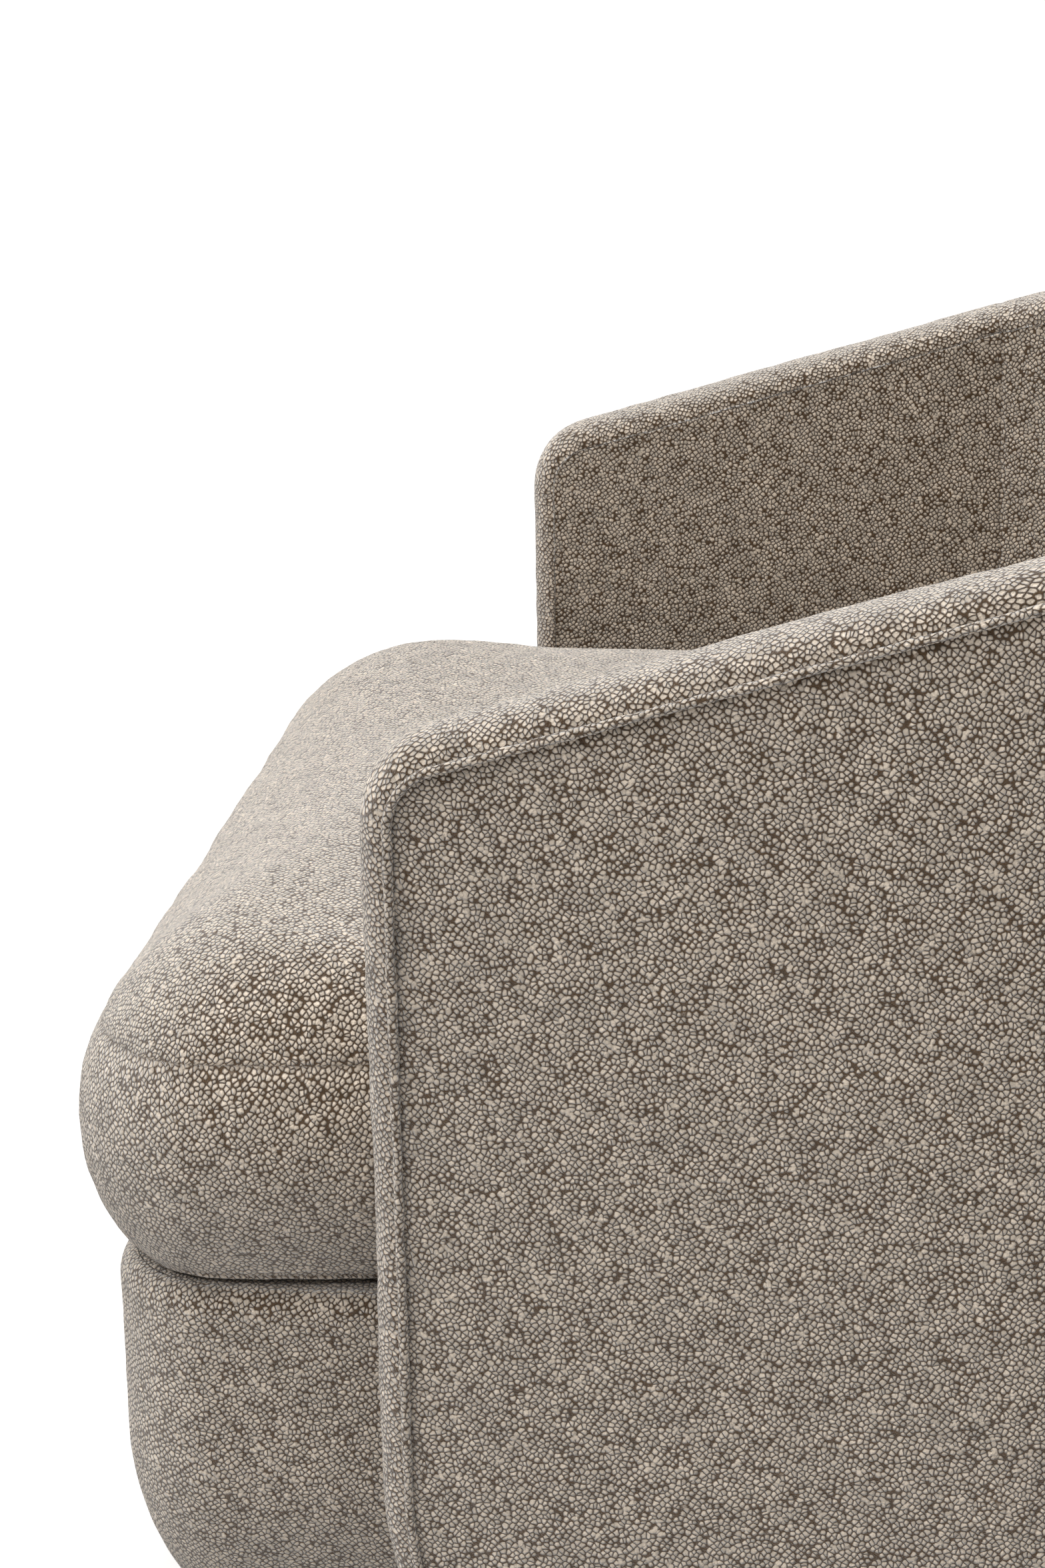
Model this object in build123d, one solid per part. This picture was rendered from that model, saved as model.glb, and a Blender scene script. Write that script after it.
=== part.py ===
from build123d import *
import math
import os

# Upholstered tub armchair with a loose seat cushion.
# Millimetres, +Z up. Origin on the floor at the centre of the chair's footprint.
# The chair faces -Y, and its left arm, as the sitter has it, is at +X.

# ---- overall size
WIDTH = 800.0  # across the outer faces of the arms
DEPTH = 760.0  # front of the seat cushion to the rear of the back
BACK_HEIGHT = 705.0  # floor to the top of the back
UNDERSIDE = 22.0  # floor to the underside of the frame

# ---- shell: the two arms and the back in one wrap
ARM_SETBACK = 190.0  # arm fronts, behind the front of the cushion
ARM_THICKNESS = 50.0
BACK_THICKNESS = 72.0
OUTER_CORNER = 240.0  # plan radius outside, where an arm turns into the back
INNER_CORNER = 165.0  # plan radius inside
ARM_FRONT_HEIGHT = 583.0  # top of the arm, carried forward to its front edge
ARM_RUN = 420.0  # level distance over which the arm's top rises to the back
ARM_FRONT_CORNER = 50.0  # side-view radius, top to front edge
TOP_BLEND = 300.0  # side-view radius, where the slope levels out
TOE_START = 180.0  # height below which the arm's front edge curves back
TOE_RADIUS = 230.0
BORDER_ROUND = 18.0  # crown of the border strip at each of its edges
SEAM_Y = 170.0  # plan place of the corner seams of the covers

# ---- layers of the shell, from the outside in
CLOTH = 2.0
WADDING = 6.0
BOARD = 3.0
FRAME = 20.0
BORDER_PAD = 10.0
SEAM_INSET = 18.0  # seam of the outer panels, in from the top and front of the arm

# ---- frame members
RAIL = 38.0  # depth of the top rails and width of the front posts
BOTTOM_RAIL = 60.0  # height of the bottom rails
UPRIGHT = 40.0
UPRIGHT_DEPTH = 14.0
TACK_RAIL = 40.0
TACK_RAIL_LOW = 200.0  # height of the tack rails' lower edge
REAR_UPRIGHT_X = 150.0

# ---- base
BASE_HALF = 336.0  # half width of the padded nose
BASE_SETBACK = 20.0  # nose, behind the front of the cushion
NOSE_CORNER = 65.0  # plan radius
BASE_TOP = 246.0
BASE_TOP_ROUND = 8.0
BOWL_START = 135.0  # height below which the nose curves inwards
BOWL_RADIUS = 190.0
RAIL_TOP = 221.0  # top of the base rails, which carries the webbing
NOSE_RETURN = 40.0  # nose upholstery carried back between the arms
NOSE_RAIL_INSET = 42.0
NOSE_RAIL = 22.0
NOSE_PANEL = 12.0
CROSS_RAIL = 24.0
SIDE_RAIL = 33.0
BACK_RAIL_Y = 246.0
STRETCHER = (22.0, 40.0)  # width and height
STRETCHER_X = 110.0
BLOCK = 60.0  # legs of the corner blocks

# ---- suspension
STRAP_WIDTH = 60.0
STRAP = 1.2
LONG_STRAP_X = (-240.0, -120.0, 0.0, 120.0, 240.0)
CROSS_STRAP_Y = (-80.0, 0.0, 80.0, 150.0)
NOSE_STRAP_Y = -230.0
BACK_STRAPS = 4
BACK_STRAP_GAP = 60.0  # lowest back strap, above the tack rail

# ---- seat cushion
CUSHION_GAP = 0.6  # clear of the arms
CUSHION_REAR_GAP = 8.0  # clear of the back
CUSHION_SEAT_GAP = 0.3
CUSHION_TOP = 443.0
CUSHION_FRONT_CORNER = 85.0
CUSHION_REAR_CORNER = 160.0
CUSHION_TOP_ROUND = 58.0
CUSHION_BOTTOM_ROUND = 24.0
TOP_SEAM = 385.0
BOTTOM_SEAM = 262.0
FIBRE_WRAP = 12.0

# ---- zip of the cushion cover
ZIP_LENGTH = 400.0
ZIP_TAPE = 26.0
ZIP_HEIGHT = 322.0
CHAIN = (6.0, 2.0)  # height and thickness
SLIDER = (14.0, 5.0, 11.0)
SLIDER_CLEARANCE = 0.3
SLIDER_END_GAP = 4.0

# ---- fixings
BOLT_RADIUS = 4.0
BOLT_CLEARANCE = 0.3
BOLT_HEAD = (7.0, 5.0)  # radius and height
WASHER = (11.0, 1.6)
BOLT_PLACES = ((-90.0, 60.0), (20.0, 60.0), (125.0, 60.0))  # y and z, on each side
GLIDE_RADIUS = 22.0
GLIDE_PLACES = ((-220.0, -262.0), (220.0, -262.0), (-230.0, 258.0), (230.0, 258.0))
NAIL_RADIUS = 2.5
NAIL_TOP = 42.0
NAIL_HEAD = (6.0, 3.0)
DUST_CLOTH = 1.0

# ---- places worked out from the sizes above
FRONT = -DEPTH / 2
REAR = DEPTH / 2
ARM_FRONT = FRONT + ARM_SETBACK
ARM_SLOPE = (BACK_HEIGHT - ARM_FRONT_HEIGHT) / ARM_RUN
ARM_FACE = WIDTH / 2 - ARM_THICKNESS  # inner face of an arm
BACK_FACE = REAR - BACK_THICKNESS  # inner face of the back
BOARD_INSET = CLOTH + WADDING
FRAME_INSET = BOARD_INSET + BOARD
FRAME_FACE_INSET = FRAME_INSET + FRAME
LINER_INSET = FRAME_FACE_INSET + BOARD
PAD_INSET = CLOTH + BORDER_PAD
RAIL_INSET = PAD_INSET + RAIL
POST_REAR = ARM_FRONT + RAIL_INSET
CORNER_Y = REAR - OUTER_CORNER  # where the shell's outside starts to turn
NOSE_BACK = ARM_FRONT + NOSE_RETURN
BEYOND = 60.0  # cutting bodies reach this far past what they cut
STRAP_TOP = RAIL_TOP + 2 * STRAP
HYPOTENUSE = math.hypot(1.0, ARM_SLOPE)


# ---- helpers

def block(x0, x1, y0, y1, z0, z1):
    """A box between two corners."""
    size = Box(x1 - x0, y1 - y0, z1 - z0)
    return Pos((x0 + x1) / 2, (y0 + y1) / 2, (z0 + z1) / 2) * size


def closed_face(points, radii):
    """A face whose outline runs through the points, with its inner corners rounded, and closes."""
    path = FilletPolyline(*points, radius=radii)
    return make_face(path.edges() + Line(points[-1], points[0]).edges())


def upright(face, low, high):
    """A plan face raised from one height to another."""
    return extrude(Pos(0, 0, low) * face, amount=high - low, dir=(0, 0, 1))


def parts_of(shape):
    """The solids of a shape, largest first."""
    return sorted(shape.solids(), key=lambda solid: -solid.volume)


def group(shapes):
    """Separate solids kept in one node."""
    solids = []
    for shape in shapes:
        solids.extend(shape.solids())
    return Compound(children=solids)


def split_shell(shape, y):
    """The left arm's, the right arm's and the back's share of a piece of the shell."""
    low, high = 0.0, BACK_HEIGHT + BEYOND
    side = WIDTH / 2 + BEYOND
    left = shape & block(0, side, FRONT - BEYOND, y, low, high)
    right = shape & block(-side, 0, FRONT - BEYOND, y, low, high)
    back = shape & block(-side, side, y, REAR + BEYOND, low, high)
    return left, right, back


# ---- the shell's own shapes

def outer_area(inset, front):
    """Plan of the whole chair inside the shell's outer face, from a front line to the rear."""
    half = WIDTH / 2 - inset
    points = [(-half, front), (-half, REAR - inset), (half, REAR - inset), (half, front)]
    return closed_face(points, [OUTER_CORNER - inset] * 2)


def sitting_area(grow, front):
    """Plan of the space between the arms and the back."""
    half = ARM_FACE + grow
    points = [(-half, front), (-half, BACK_FACE + grow), (half, BACK_FACE + grow), (half, front)]
    return closed_face(points, [INNER_CORNER + grow] * 2)


def band(outside, inside):
    """A U-shaped layer of the shell between two insets from its outer face, as tall as the chair."""
    front = FRONT - BEYOND
    plan = outer_area(outside, front) - outer_area(inside, front - BEYOND)
    return upright(plan, UNDERSIDE, BACK_HEIGHT)


def side_prism(inset):
    """The shell's side view, drawn in by an inset at its top and front, as wide as the chair."""
    front = ARM_FRONT + inset
    top = BACK_HEIGHT - inset
    corner = ARM_FRONT_HEIGHT + ARM_SLOPE * inset - inset * HYPOTENUSE
    level = front + (top - corner) / ARM_SLOPE
    end = max(REAR, level) + TOP_BLEND
    radius = TOE_RADIUS - inset
    toe_y = front + radius
    turn = math.asin((TOE_START - UNDERSIDE) / radius)
    low = (toe_y - radius * math.cos(turn), UNDERSIDE)
    middle = (toe_y - radius * math.cos(turn / 2), TOE_START - radius * math.sin(turn / 2))
    points = [(front, TOE_START), (front, corner), (level, top), (end, top)]
    radii = [max(ARM_FRONT_CORNER - inset, 4.0), TOP_BLEND - inset]
    outline = FilletPolyline(*points, radius=radii).edges()
    outline += Line((end, top), (end, UNDERSIDE)).edges()
    outline += Line((end, UNDERSIDE), low).edges()
    outline += ThreePointArc(low, middle, (front, TOE_START)).edges()
    face = Plane.YZ * make_face(outline)
    return extrude(face, amount=WIDTH / 2 + BEYOND, dir=(1, 0, 0), both=True)


def border_edges(solid):
    """The edges on both sides of the border, along the top and down the fronts of the arms."""
    seen = {}
    for face in solid.faces():
        middle = face.center()
        normal = face.normal_at(middle)
        on_front = normal.Y < -0.3 and middle.Y < BACK_FACE - INNER_CORNER
        if normal.Z > 0.1 or on_front:
            for edge in face.edges():
                place = edge.center()
                key = (round(place.X, 2), round(place.Y, 2), round(place.Z, 2))
                seen.setdefault(key, []).append(edge)
    return [
        edges[0]
        for edges in seen.values()
        if len(edges) == 1 and edges[0].center().Z > UNDERSIDE + 1
    ]


def shell(inset):
    """The shell drawn in by an inset on every side but the bottom, with its border crowned."""
    front = FRONT - BEYOND
    plan = outer_area(inset, front) - sitting_area(inset, front - BEYOND)
    body = upright(plan, UNDERSIDE, BACK_HEIGHT) & side_prism(inset)
    return fillet(border_edges(body), BORDER_ROUND - inset)


# ---- the base's own shapes

def nose_plan(inset, back):
    """Plan of the padded nose, from its front to a back line."""
    half = BASE_HALF - inset
    front = FRONT + BASE_SETBACK + inset
    points = [(-half, back), (-half, front), (half, front), (half, back)]
    return closed_face(points, [NOSE_CORNER - inset] * 2)


def nose(inset):
    """The padded nose of the base, bowl-shaped below and rounded at its top edge."""
    top = BASE_TOP - inset
    levels = []
    for step in range(4, 0, -1):
        turn = math.asin((BOWL_START - UNDERSIDE) / BOWL_RADIUS) * step / 4
        drop = BOWL_RADIUS * math.sin(turn)
        levels.append((BOWL_START - drop, BOWL_RADIUS * (1 - math.cos(turn))))
    levels.append((BOWL_START, 0.0))
    for step in range(4):
        turn = math.radians(90) * step / 3
        rise = BASE_TOP_ROUND * (math.sin(turn) - 1)
        levels.append((top + rise, BASE_TOP_ROUND * (1 - math.cos(turn))))
    sections = [Pos(0, 0, z) * nose_plan(inset + draw, NOSE_BACK) for z, draw in levels]
    return loft(sections, ruled=True)


def cushion(inset):
    """The seat cushion's shape, drawn in by an inset on every side."""
    half = ARM_FACE - CUSHION_GAP - inset
    front = FRONT + inset
    rear = BACK_FACE - CUSHION_REAR_GAP - inset
    corners = [(-half, front), (half, front), (half, rear), (-half, rear)]
    radii = [CUSHION_FRONT_CORNER - inset] * 2 + [CUSHION_REAR_CORNER - inset] * 2
    plan = make_face(FilletPolyline(*corners, radius=radii, close=True).edges())
    low = BASE_TOP + CUSHION_SEAT_GAP + inset
    body = upright(plan, low, CUSHION_TOP - inset)
    body = fillet(body.faces().sort_by(Axis.Z)[-1].edges(), CUSHION_TOP_ROUND - inset)
    return fillet(body.faces().sort_by(Axis.Z)[0].edges(), CUSHION_BOTTOM_ROUND - inset)


def across(radius, x0, x1, y, z):
    """A round bar along X between two places."""
    bar = Cylinder(radius, abs(x1 - x0), rotation=(0, 90, 0))
    return Pos((x0 + x1) / 2, y, z) * bar


def post_pin(radius, x, y, low, high):
    """A round bar along Z between two heights."""
    return Pos(x, y, (low + high) / 2) * Cylinder(radius, high - low)


# ---- sub-parts: the shell's frame

def frame_ring():
    """The front posts and top rails while they are still one piece."""
    return band(FRAME_INSET, FRAME_FACE_INSET) & (side_prism(PAD_INSET) - side_prism(RAIL_INSET))


def make_posts():
    """The arms' front posts, with the round of their top and toe."""
    whole = frame_ring() & block(-WIDTH, WIDTH, FRONT, POST_REAR, 0, BACK_HEIGHT)
    left, right = sorted(whole.solids(), key=lambda solid: -solid.center().X)
    return {"arm_post_left": left, "arm_post_right": right}


def make_top_rails():
    """The sloping top rails of the arms and the bent top rail of the back."""
    whole = frame_ring() & block(-WIDTH, WIDTH, POST_REAR, REAR, TOE_START, BACK_HEIGHT)
    left, right, back = split_shell(whole, CORNER_Y)
    return {"arm_top_rail_left": left, "arm_top_rail_right": right, "back_top_rail": back}


def make_bottom_rails():
    """The rails at the foot of the shell, bored for the bolts that hold the base."""
    layer = band(FRAME_INSET, FRAME_FACE_INSET) & side_prism(PAD_INSET)
    low = layer & block(-WIDTH, WIDTH, POST_REAR, REAR, UNDERSIDE, UNDERSIDE + BOTTOM_RAIL)
    left, right, back = split_shell(low, CORNER_Y)
    for bore in bolt_bores():
        left = left - bore
        right = right - bore
    return {"arm_bottom_rail_left": left, "arm_bottom_rail_right": right, "back_bottom_rail": back}


def make_tack_rails():
    """The thin strips that the inner covers and the back webbing are fixed to."""
    layer = band(FRAME_INSET + UPRIGHT_DEPTH, FRAME_FACE_INSET)
    top = TACK_RAIL_LOW + TACK_RAIL
    strip = layer & block(-WIDTH, WIDTH, POST_REAR, REAR, TACK_RAIL_LOW, top)
    left, right, back = split_shell(strip, CORNER_Y)
    return {"arm_tack_rails": group([left, right]), "back_tack_rail": back}


def make_uprights():
    """The studs between the bottom and top rails, at the corners and across the back."""
    layer = band(FRAME_INSET, FRAME_INSET + UPRIGHT_DEPTH) & side_prism(RAIL_INSET)
    low = UNDERSIDE + BOTTOM_RAIL
    corners = []
    for side in (-1, 1):
        inner, outer = sorted((side * (WIDTH / 2 - LINER_INSET - UPRIGHT_DEPTH), side * WIDTH / 2))
        y0, y1 = CORNER_Y - UPRIGHT / 2, CORNER_Y + UPRIGHT / 2
        corners.append(layer & block(inner, outer, y0, y1, low, BACK_HEIGHT))
    rear = []
    for x in (-REAR_UPRIGHT_X, REAR_UPRIGHT_X):
        x0, x1 = x - UPRIGHT / 2, x + UPRIGHT / 2
        rear.append(layer & block(x0, x1, BACK_FACE, REAR, low, BACK_HEIGHT))
    return {"corner_uprights": group(corners), "back_uprights": group(rear)}


def make_boards():
    """The bent outer board that wraps the shell, and the liner boards inside the arms."""
    outer = band(BOARD_INSET, FRAME_INSET) & side_prism(PAD_INSET)
    outer_left, outer_right, outer_back = split_shell(outer, CORNER_Y)
    liner = band(FRAME_FACE_INSET, LINER_INSET) & side_prism(PAD_INSET)
    liner = liner & block(-WIDTH, WIDTH, FRONT, CORNER_Y, RAIL_TOP, BACK_HEIGHT)
    return {
        "outer_board_left": outer_left,
        "outer_board_right": outer_right,
        "outer_board_back": outer_back,
        "liner_boards": group([liner]),
    }


def make_back_webbing():
    """Elastic straps across the inside of the back, from the tack rail up to the top rail."""
    layer = band(FRAME_FACE_INSET, FRAME_FACE_INSET + STRAP)
    lowest = TACK_RAIL_LOW + TACK_RAIL + BACK_STRAP_GAP
    rail_top = ARM_FRONT_HEIGHT + ARM_SLOPE * (CORNER_Y - ARM_FRONT) - PAD_INSET * HYPOTENUSE
    highest = rail_top - RAIL / 2 - STRAP_WIDTH
    step = (highest - lowest) / (BACK_STRAPS - 1)
    straps = []
    for number in range(BACK_STRAPS):
        z = lowest + number * step
        straps.append(layer & block(-WIDTH, WIDTH, CORNER_Y, REAR, z, z + STRAP_WIDTH))
    return {"back_webbing": group(straps)}


# ---- sub-parts: the shell's padding and covers

def above_base(shape):
    """A piece of the shell's inner side, cut away where the base's rails stand."""
    return shape - block(-WIDTH, WIDTH, NOSE_BACK, REAR, 0, RAIL_TOP)


def make_shell_padding(under_cover):
    """Foam inside the arms and back, foam along the border, and wadding outside."""
    core = side_prism(PAD_INSET)
    front = FRONT - BEYOND
    border = under_cover - core
    wadding = band(CLOTH, BOARD_INSET) & under_cover & core
    inner_plan = outer_area(LINER_INSET, front) - sitting_area(CLOTH, front - BEYOND)
    inner = above_base(upright(inner_plan, UNDERSIDE, BACK_HEIGHT) & under_cover & core)
    pieces = {"outer_wadding": wadding}
    for name, shape in (("border_foam", border), ("inner_foam", inner)):
        for side, share in zip(("left", "right", "back"), split_shell(shape, CORNER_Y)):
            pieces[f"{name}_{side}"] = share
    return pieces


def make_shell_covers(under_cover):
    """The cloth: flat outer panels, and inner panels that wrap over the top and the arms' fronts."""
    cover = shell(0.0) - under_cover
    front = FRONT - BEYOND
    middle = upright(outer_area(ARM_THICKNESS / 2, front), 0, BACK_HEIGHT)
    outer = (cover & side_prism(SEAM_INSET)) - middle
    wrap = cover - outer
    toes = wrap - side_prism(SEAM_INSET)
    inner = above_base(wrap & side_prism(SEAM_INSET)) + toes
    pieces = {}
    for name, shape in (("outer_cover", outer), ("inner_cover", inner)):
        for side, share in zip(("left", "right", "back"), split_shell(shape, SEAM_Y)):
            pieces[f"{name}_{side}"] = share
    return pieces


# ---- sub-parts: the base

def inside_frame(shape):
    """A base member trimmed to the inner side of the shell's frame and of the arms' toes."""
    front = FRONT - BEYOND
    trimmed = shape & upright(outer_area(FRAME_FACE_INSET, front), 0, BACK_HEIGHT)
    between_arms = block(-ARM_FACE, ARM_FACE, front, REAR, 0, BACK_HEIGHT)
    return (trimmed & side_prism(SEAM_INSET)) + (trimmed & between_arms)


def bolt_bores():
    """Clearance bores of the bolts that join the base to the arms."""
    radius = BOLT_RADIUS + BOLT_CLEARANCE
    inner = WIDTH / 2 - FRAME_FACE_INSET - SIDE_RAIL
    outer = WIDTH / 2 - FRAME_INSET
    bores = []
    for side in (-1, 1):
        for y, z in BOLT_PLACES:
            bores.append(across(radius, side * (inner - 1), side * (outer + 1), y, z))
    return bores


def nail_bores():
    """Holes that the glides' nails fill."""
    return [post_pin(NAIL_RADIUS, x, y, 0, NAIL_TOP) for x, y in GLIDE_PLACES]


def make_base_frame():
    """The box of rails between the arms and the bent rail of the nose in front of it."""
    face = WIDTH / 2 - FRAME_FACE_INSET
    cross_rear = NOSE_BACK + CROSS_RAIL
    low, high = UNDERSIDE, RAIL_TOP
    inner_face = NOSE_RAIL_INSET + NOSE_RAIL
    nose_ring = nose_plan(NOSE_RAIL_INSET, NOSE_BACK) - nose_plan(inner_face, NOSE_BACK + 1)
    nose_rail = upright(nose_ring, low, high)
    panel = upright(nose_plan(inner_face, NOSE_BACK), low, low + NOSE_PANEL)
    cross = inside_frame(block(-face, face, NOSE_BACK, cross_rear, low, high))
    back = inside_frame(block(-face, face, BACK_RAIL_Y, BACK_RAIL_Y + CROSS_RAIL, low, high))
    sides = {}
    for name, side in (("left", 1), ("right", -1)):
        x0, x1 = sorted((side * (face - SIDE_RAIL), side * face))
        rail = inside_frame(block(x0, x1, cross_rear, BACK_RAIL_Y, low, high))
        for bore in bolt_bores():
            rail = rail - bore
        sides[f"base_rail_{name}"] = parts_of(rail)[0]
    half, height = STRETCHER[0] / 2, STRETCHER[1]
    bars = [
        block(x - half, x + half, cross_rear, BACK_RAIL_Y, low, low + height)
        for x in (-STRETCHER_X, STRETCHER_X)
    ]
    for bore in nail_bores():
        panel = panel - bore
        back = back - bore
    return {
        "nose_rail": nose_rail,
        "nose_panel": panel,
        "base_cross_rail": cross,
        "base_back_rail": back,
        **sides,
        "base_stretchers": group(bars),
        "corner_blocks": make_corner_blocks(face - SIDE_RAIL, cross_rear),
    }


def make_corner_blocks(x, y):
    """Three-cornered blocks glued where the side rails meet the cross rail."""
    blocks = []
    for side in (-1, 1):
        points = [(side * x, y), (side * (x - BLOCK), y), (side * x, y + BLOCK), (side * x, y)]
        face = make_face(Polyline(*points).edges())
        blocks.append(upright(face, RAIL_TOP - 2 * BLOCK, RAIL_TOP - BLOCK))
    return group(blocks)


def make_seat_webbing():
    """Elastic straps from front to back, and straps across on top of them."""
    half = STRAP_WIDTH / 2
    start = FRONT + BASE_SETBACK + NOSE_RAIL_INSET + 1
    end = BACK_RAIL_Y + CROSS_RAIL - 1
    middle = RAIL_TOP + STRAP
    long_straps = [block(x - half, x + half, start, end, RAIL_TOP, middle) for x in LONG_STRAP_X]
    reach = upright(sitting_area(-1.0, FRONT), 0, BACK_HEIGHT)
    cross_straps = [
        block(-WIDTH, WIDTH, y - half, y + half, middle, STRAP_TOP) & reach for y in CROSS_STRAP_Y
    ]
    nose_half = BASE_HALF - NOSE_RAIL_INSET - 1
    y0, y1 = NOSE_STRAP_Y - half, NOSE_STRAP_Y + half
    cross_straps.append(block(-nose_half, nose_half, y0, y1, middle, STRAP_TOP))
    return {"seat_webbing_long": group(long_straps), "seat_webbing_cross": group(cross_straps)}


def make_base_upholstery():
    """Foam round the nose, the deck's foam, the nose cover and the deck cloth."""
    under = nose(CLOTH)
    behind = upright(sitting_area(-CUSHION_SEAT_GAP, NOSE_BACK), STRAP_TOP, BASE_TOP - CLOTH)
    wood = upright(nose_plan(NOSE_RAIL_INSET, NOSE_BACK + 1), 0, RAIL_TOP + 1)
    lower = under & block(-WIDTH, WIDTH, FRONT, REAR, 0, RAIL_TOP)
    upper = under & block(-WIDTH, WIDTH, FRONT, REAR, STRAP_TOP, BASE_TOP)
    cloth = upright(sitting_area(-CUSHION_SEAT_GAP, NOSE_BACK), BASE_TOP - CLOTH, BASE_TOP)
    return {
        "nose_foam": lower - wood,
        "deck_foam": upper + behind,
        "nose_cover": nose(0.0) - under,
        "deck_cloth": cloth,
    }


def make_dust_cloth():
    """The thin black cloth that closes the underside."""
    turn = math.asin((TOE_START - UNDERSIDE) / TOE_RADIUS)
    toe = ARM_FRONT + TOE_RADIUS * (1 - math.cos(turn)) + PAD_INSET
    area = outer_area(FRAME_INSET, toe) + nose_plan(NOSE_RAIL_INSET, toe + 1)
    cloth = upright(area, UNDERSIDE - DUST_CLOTH, UNDERSIDE)
    for bore in nail_bores():
        cloth = cloth - bore
    return {"dust_cloth": cloth}


# ---- sub-parts: fixings

def make_bolts():
    """The bolts that join the base to the arms, and the washers under their heads."""
    head_face = WIDTH / 2 - FRAME_FACE_INSET - SIDE_RAIL
    tip = WIDTH / 2 - FRAME_INSET
    bolts, washers = [], []
    for side in (-1, 1):
        for y, z in BOLT_PLACES:
            seat = head_face - WASHER[1]
            shank = across(BOLT_RADIUS, side * seat, side * tip, y, z)
            head = across(BOLT_HEAD[0], side * (seat - BOLT_HEAD[1]), side * seat, y, z)
            bolts.append(shank + head)
            ring = across(WASHER[0], side * seat, side * head_face, y, z)
            washers.append(ring - across(BOLT_RADIUS, 0, side * WIDTH, y, z))
    return {"frame_bolts": group(bolts), "bolt_washers": group(washers)}


def make_glides():
    """Round plastic feet and the nails that hold them."""
    feet, nails = [], []
    for x, y in GLIDE_PLACES:
        foot = post_pin(GLIDE_RADIUS, x, y, 0, UNDERSIDE - DUST_CLOTH)
        foot = chamfer(foot.edges().sort_by(Axis.Z)[0], NAIL_RADIUS)
        foot = foot - post_pin(NAIL_RADIUS, x, y, 0, UNDERSIDE)
        foot = foot - post_pin(NAIL_HEAD[0], x, y, 0, 2 * NAIL_HEAD[1])
        feet.append(foot)
        head = post_pin(NAIL_HEAD[0], x, y, NAIL_HEAD[1], 2 * NAIL_HEAD[1])
        nails.append(head + post_pin(NAIL_RADIUS, x, y, NAIL_HEAD[1], NAIL_TOP))
    return {"glides": group(feet), "glide_nails": group(nails)}


# ---- sub-parts: the loose cushion

def zip_opening():
    """The gap in the boxing's rear that the zip closes."""
    rear = BACK_FACE - CUSHION_REAR_GAP
    half = ZIP_LENGTH / 2
    y0, y1 = rear - CLOTH, rear + BEYOND
    return block(-half, half, y0, y1, ZIP_HEIGHT - ZIP_TAPE / 2, ZIP_HEIGHT + ZIP_TAPE / 2)


def make_cushion():
    """The foam, its fibre wrap and the three panels of the cover."""
    skin = cushion(0.0)
    under = cushion(CLOTH)
    core = cushion(CLOTH + FIBRE_WRAP)
    cover = skin - under
    top = cover & block(-WIDTH, WIDTH, FRONT, REAR, TOP_SEAM, BACK_HEIGHT)
    bottom = cover & block(-WIDTH, WIDTH, FRONT, REAR, 0, BOTTOM_SEAM)
    boxing = cover & block(-WIDTH, WIDTH, FRONT, REAR, BOTTOM_SEAM, TOP_SEAM)
    return {
        "cushion_foam": core,
        "cushion_wrap": under - core,
        "cushion_top_panel": top,
        "cushion_boxing": boxing - zip_opening(),
        "cushion_bottom_panel": bottom,
    }


def make_zip():
    """The zip's tape with its closed chain, and the slider that runs on it."""
    rear = BACK_FACE - CUSHION_REAR_GAP
    half = ZIP_LENGTH / 2
    low, high = ZIP_HEIGHT - ZIP_TAPE / 2, ZIP_HEIGHT + ZIP_TAPE / 2
    tape = block(-half, half, rear - CLOTH, rear, low, high)
    chain_low, chain_high = ZIP_HEIGHT - CHAIN[0] / 2, ZIP_HEIGHT + CHAIN[0] / 2
    chain = block(-half, half, rear, rear + CHAIN[1], chain_low, chain_high)
    start = -half + SLIDER_END_GAP
    gap = SLIDER_CLEARANCE
    body = block(
        start,
        start + SLIDER[0],
        rear + gap,
        rear + gap + SLIDER[1],
        ZIP_HEIGHT - SLIDER[2] / 2,
        ZIP_HEIGHT + SLIDER[2] / 2,
    )
    body = fillet(body.edges().filter_by(Axis.Y), SLIDER[2] / 4)
    channel = block(-half, half, rear, rear + CHAIN[1] + gap, chain_low - gap, chain_high + gap)
    return {"zip_tape": tape + chain, "zip_slider": body - channel}


def main():
    """Build every sub-part and write one file for each."""
    under_cover = shell(CLOTH)
    nodes = {
        **make_posts(),
        **make_top_rails(),
        **make_bottom_rails(),
        **make_tack_rails(),
        **make_uprights(),
        **make_boards(),
        **make_back_webbing(),
        **make_shell_padding(under_cover),
        **make_shell_covers(under_cover),
        **make_base_frame(),
        **make_seat_webbing(),
        **make_base_upholstery(),
        **make_dust_cloth(),
        **make_bolts(),
        **make_glides(),
        **make_cushion(),
        **make_zip(),
    }
    os.makedirs("parts", exist_ok=True)
    for name, shape in nodes.items():
        export_step(shape, f"parts/{name}.step")
    print(len(nodes), "nodes")


main()
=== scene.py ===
import functools
import math

import bmesh
import bpy
from mathutils import Matrix, Vector, kdtree, noise


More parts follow.
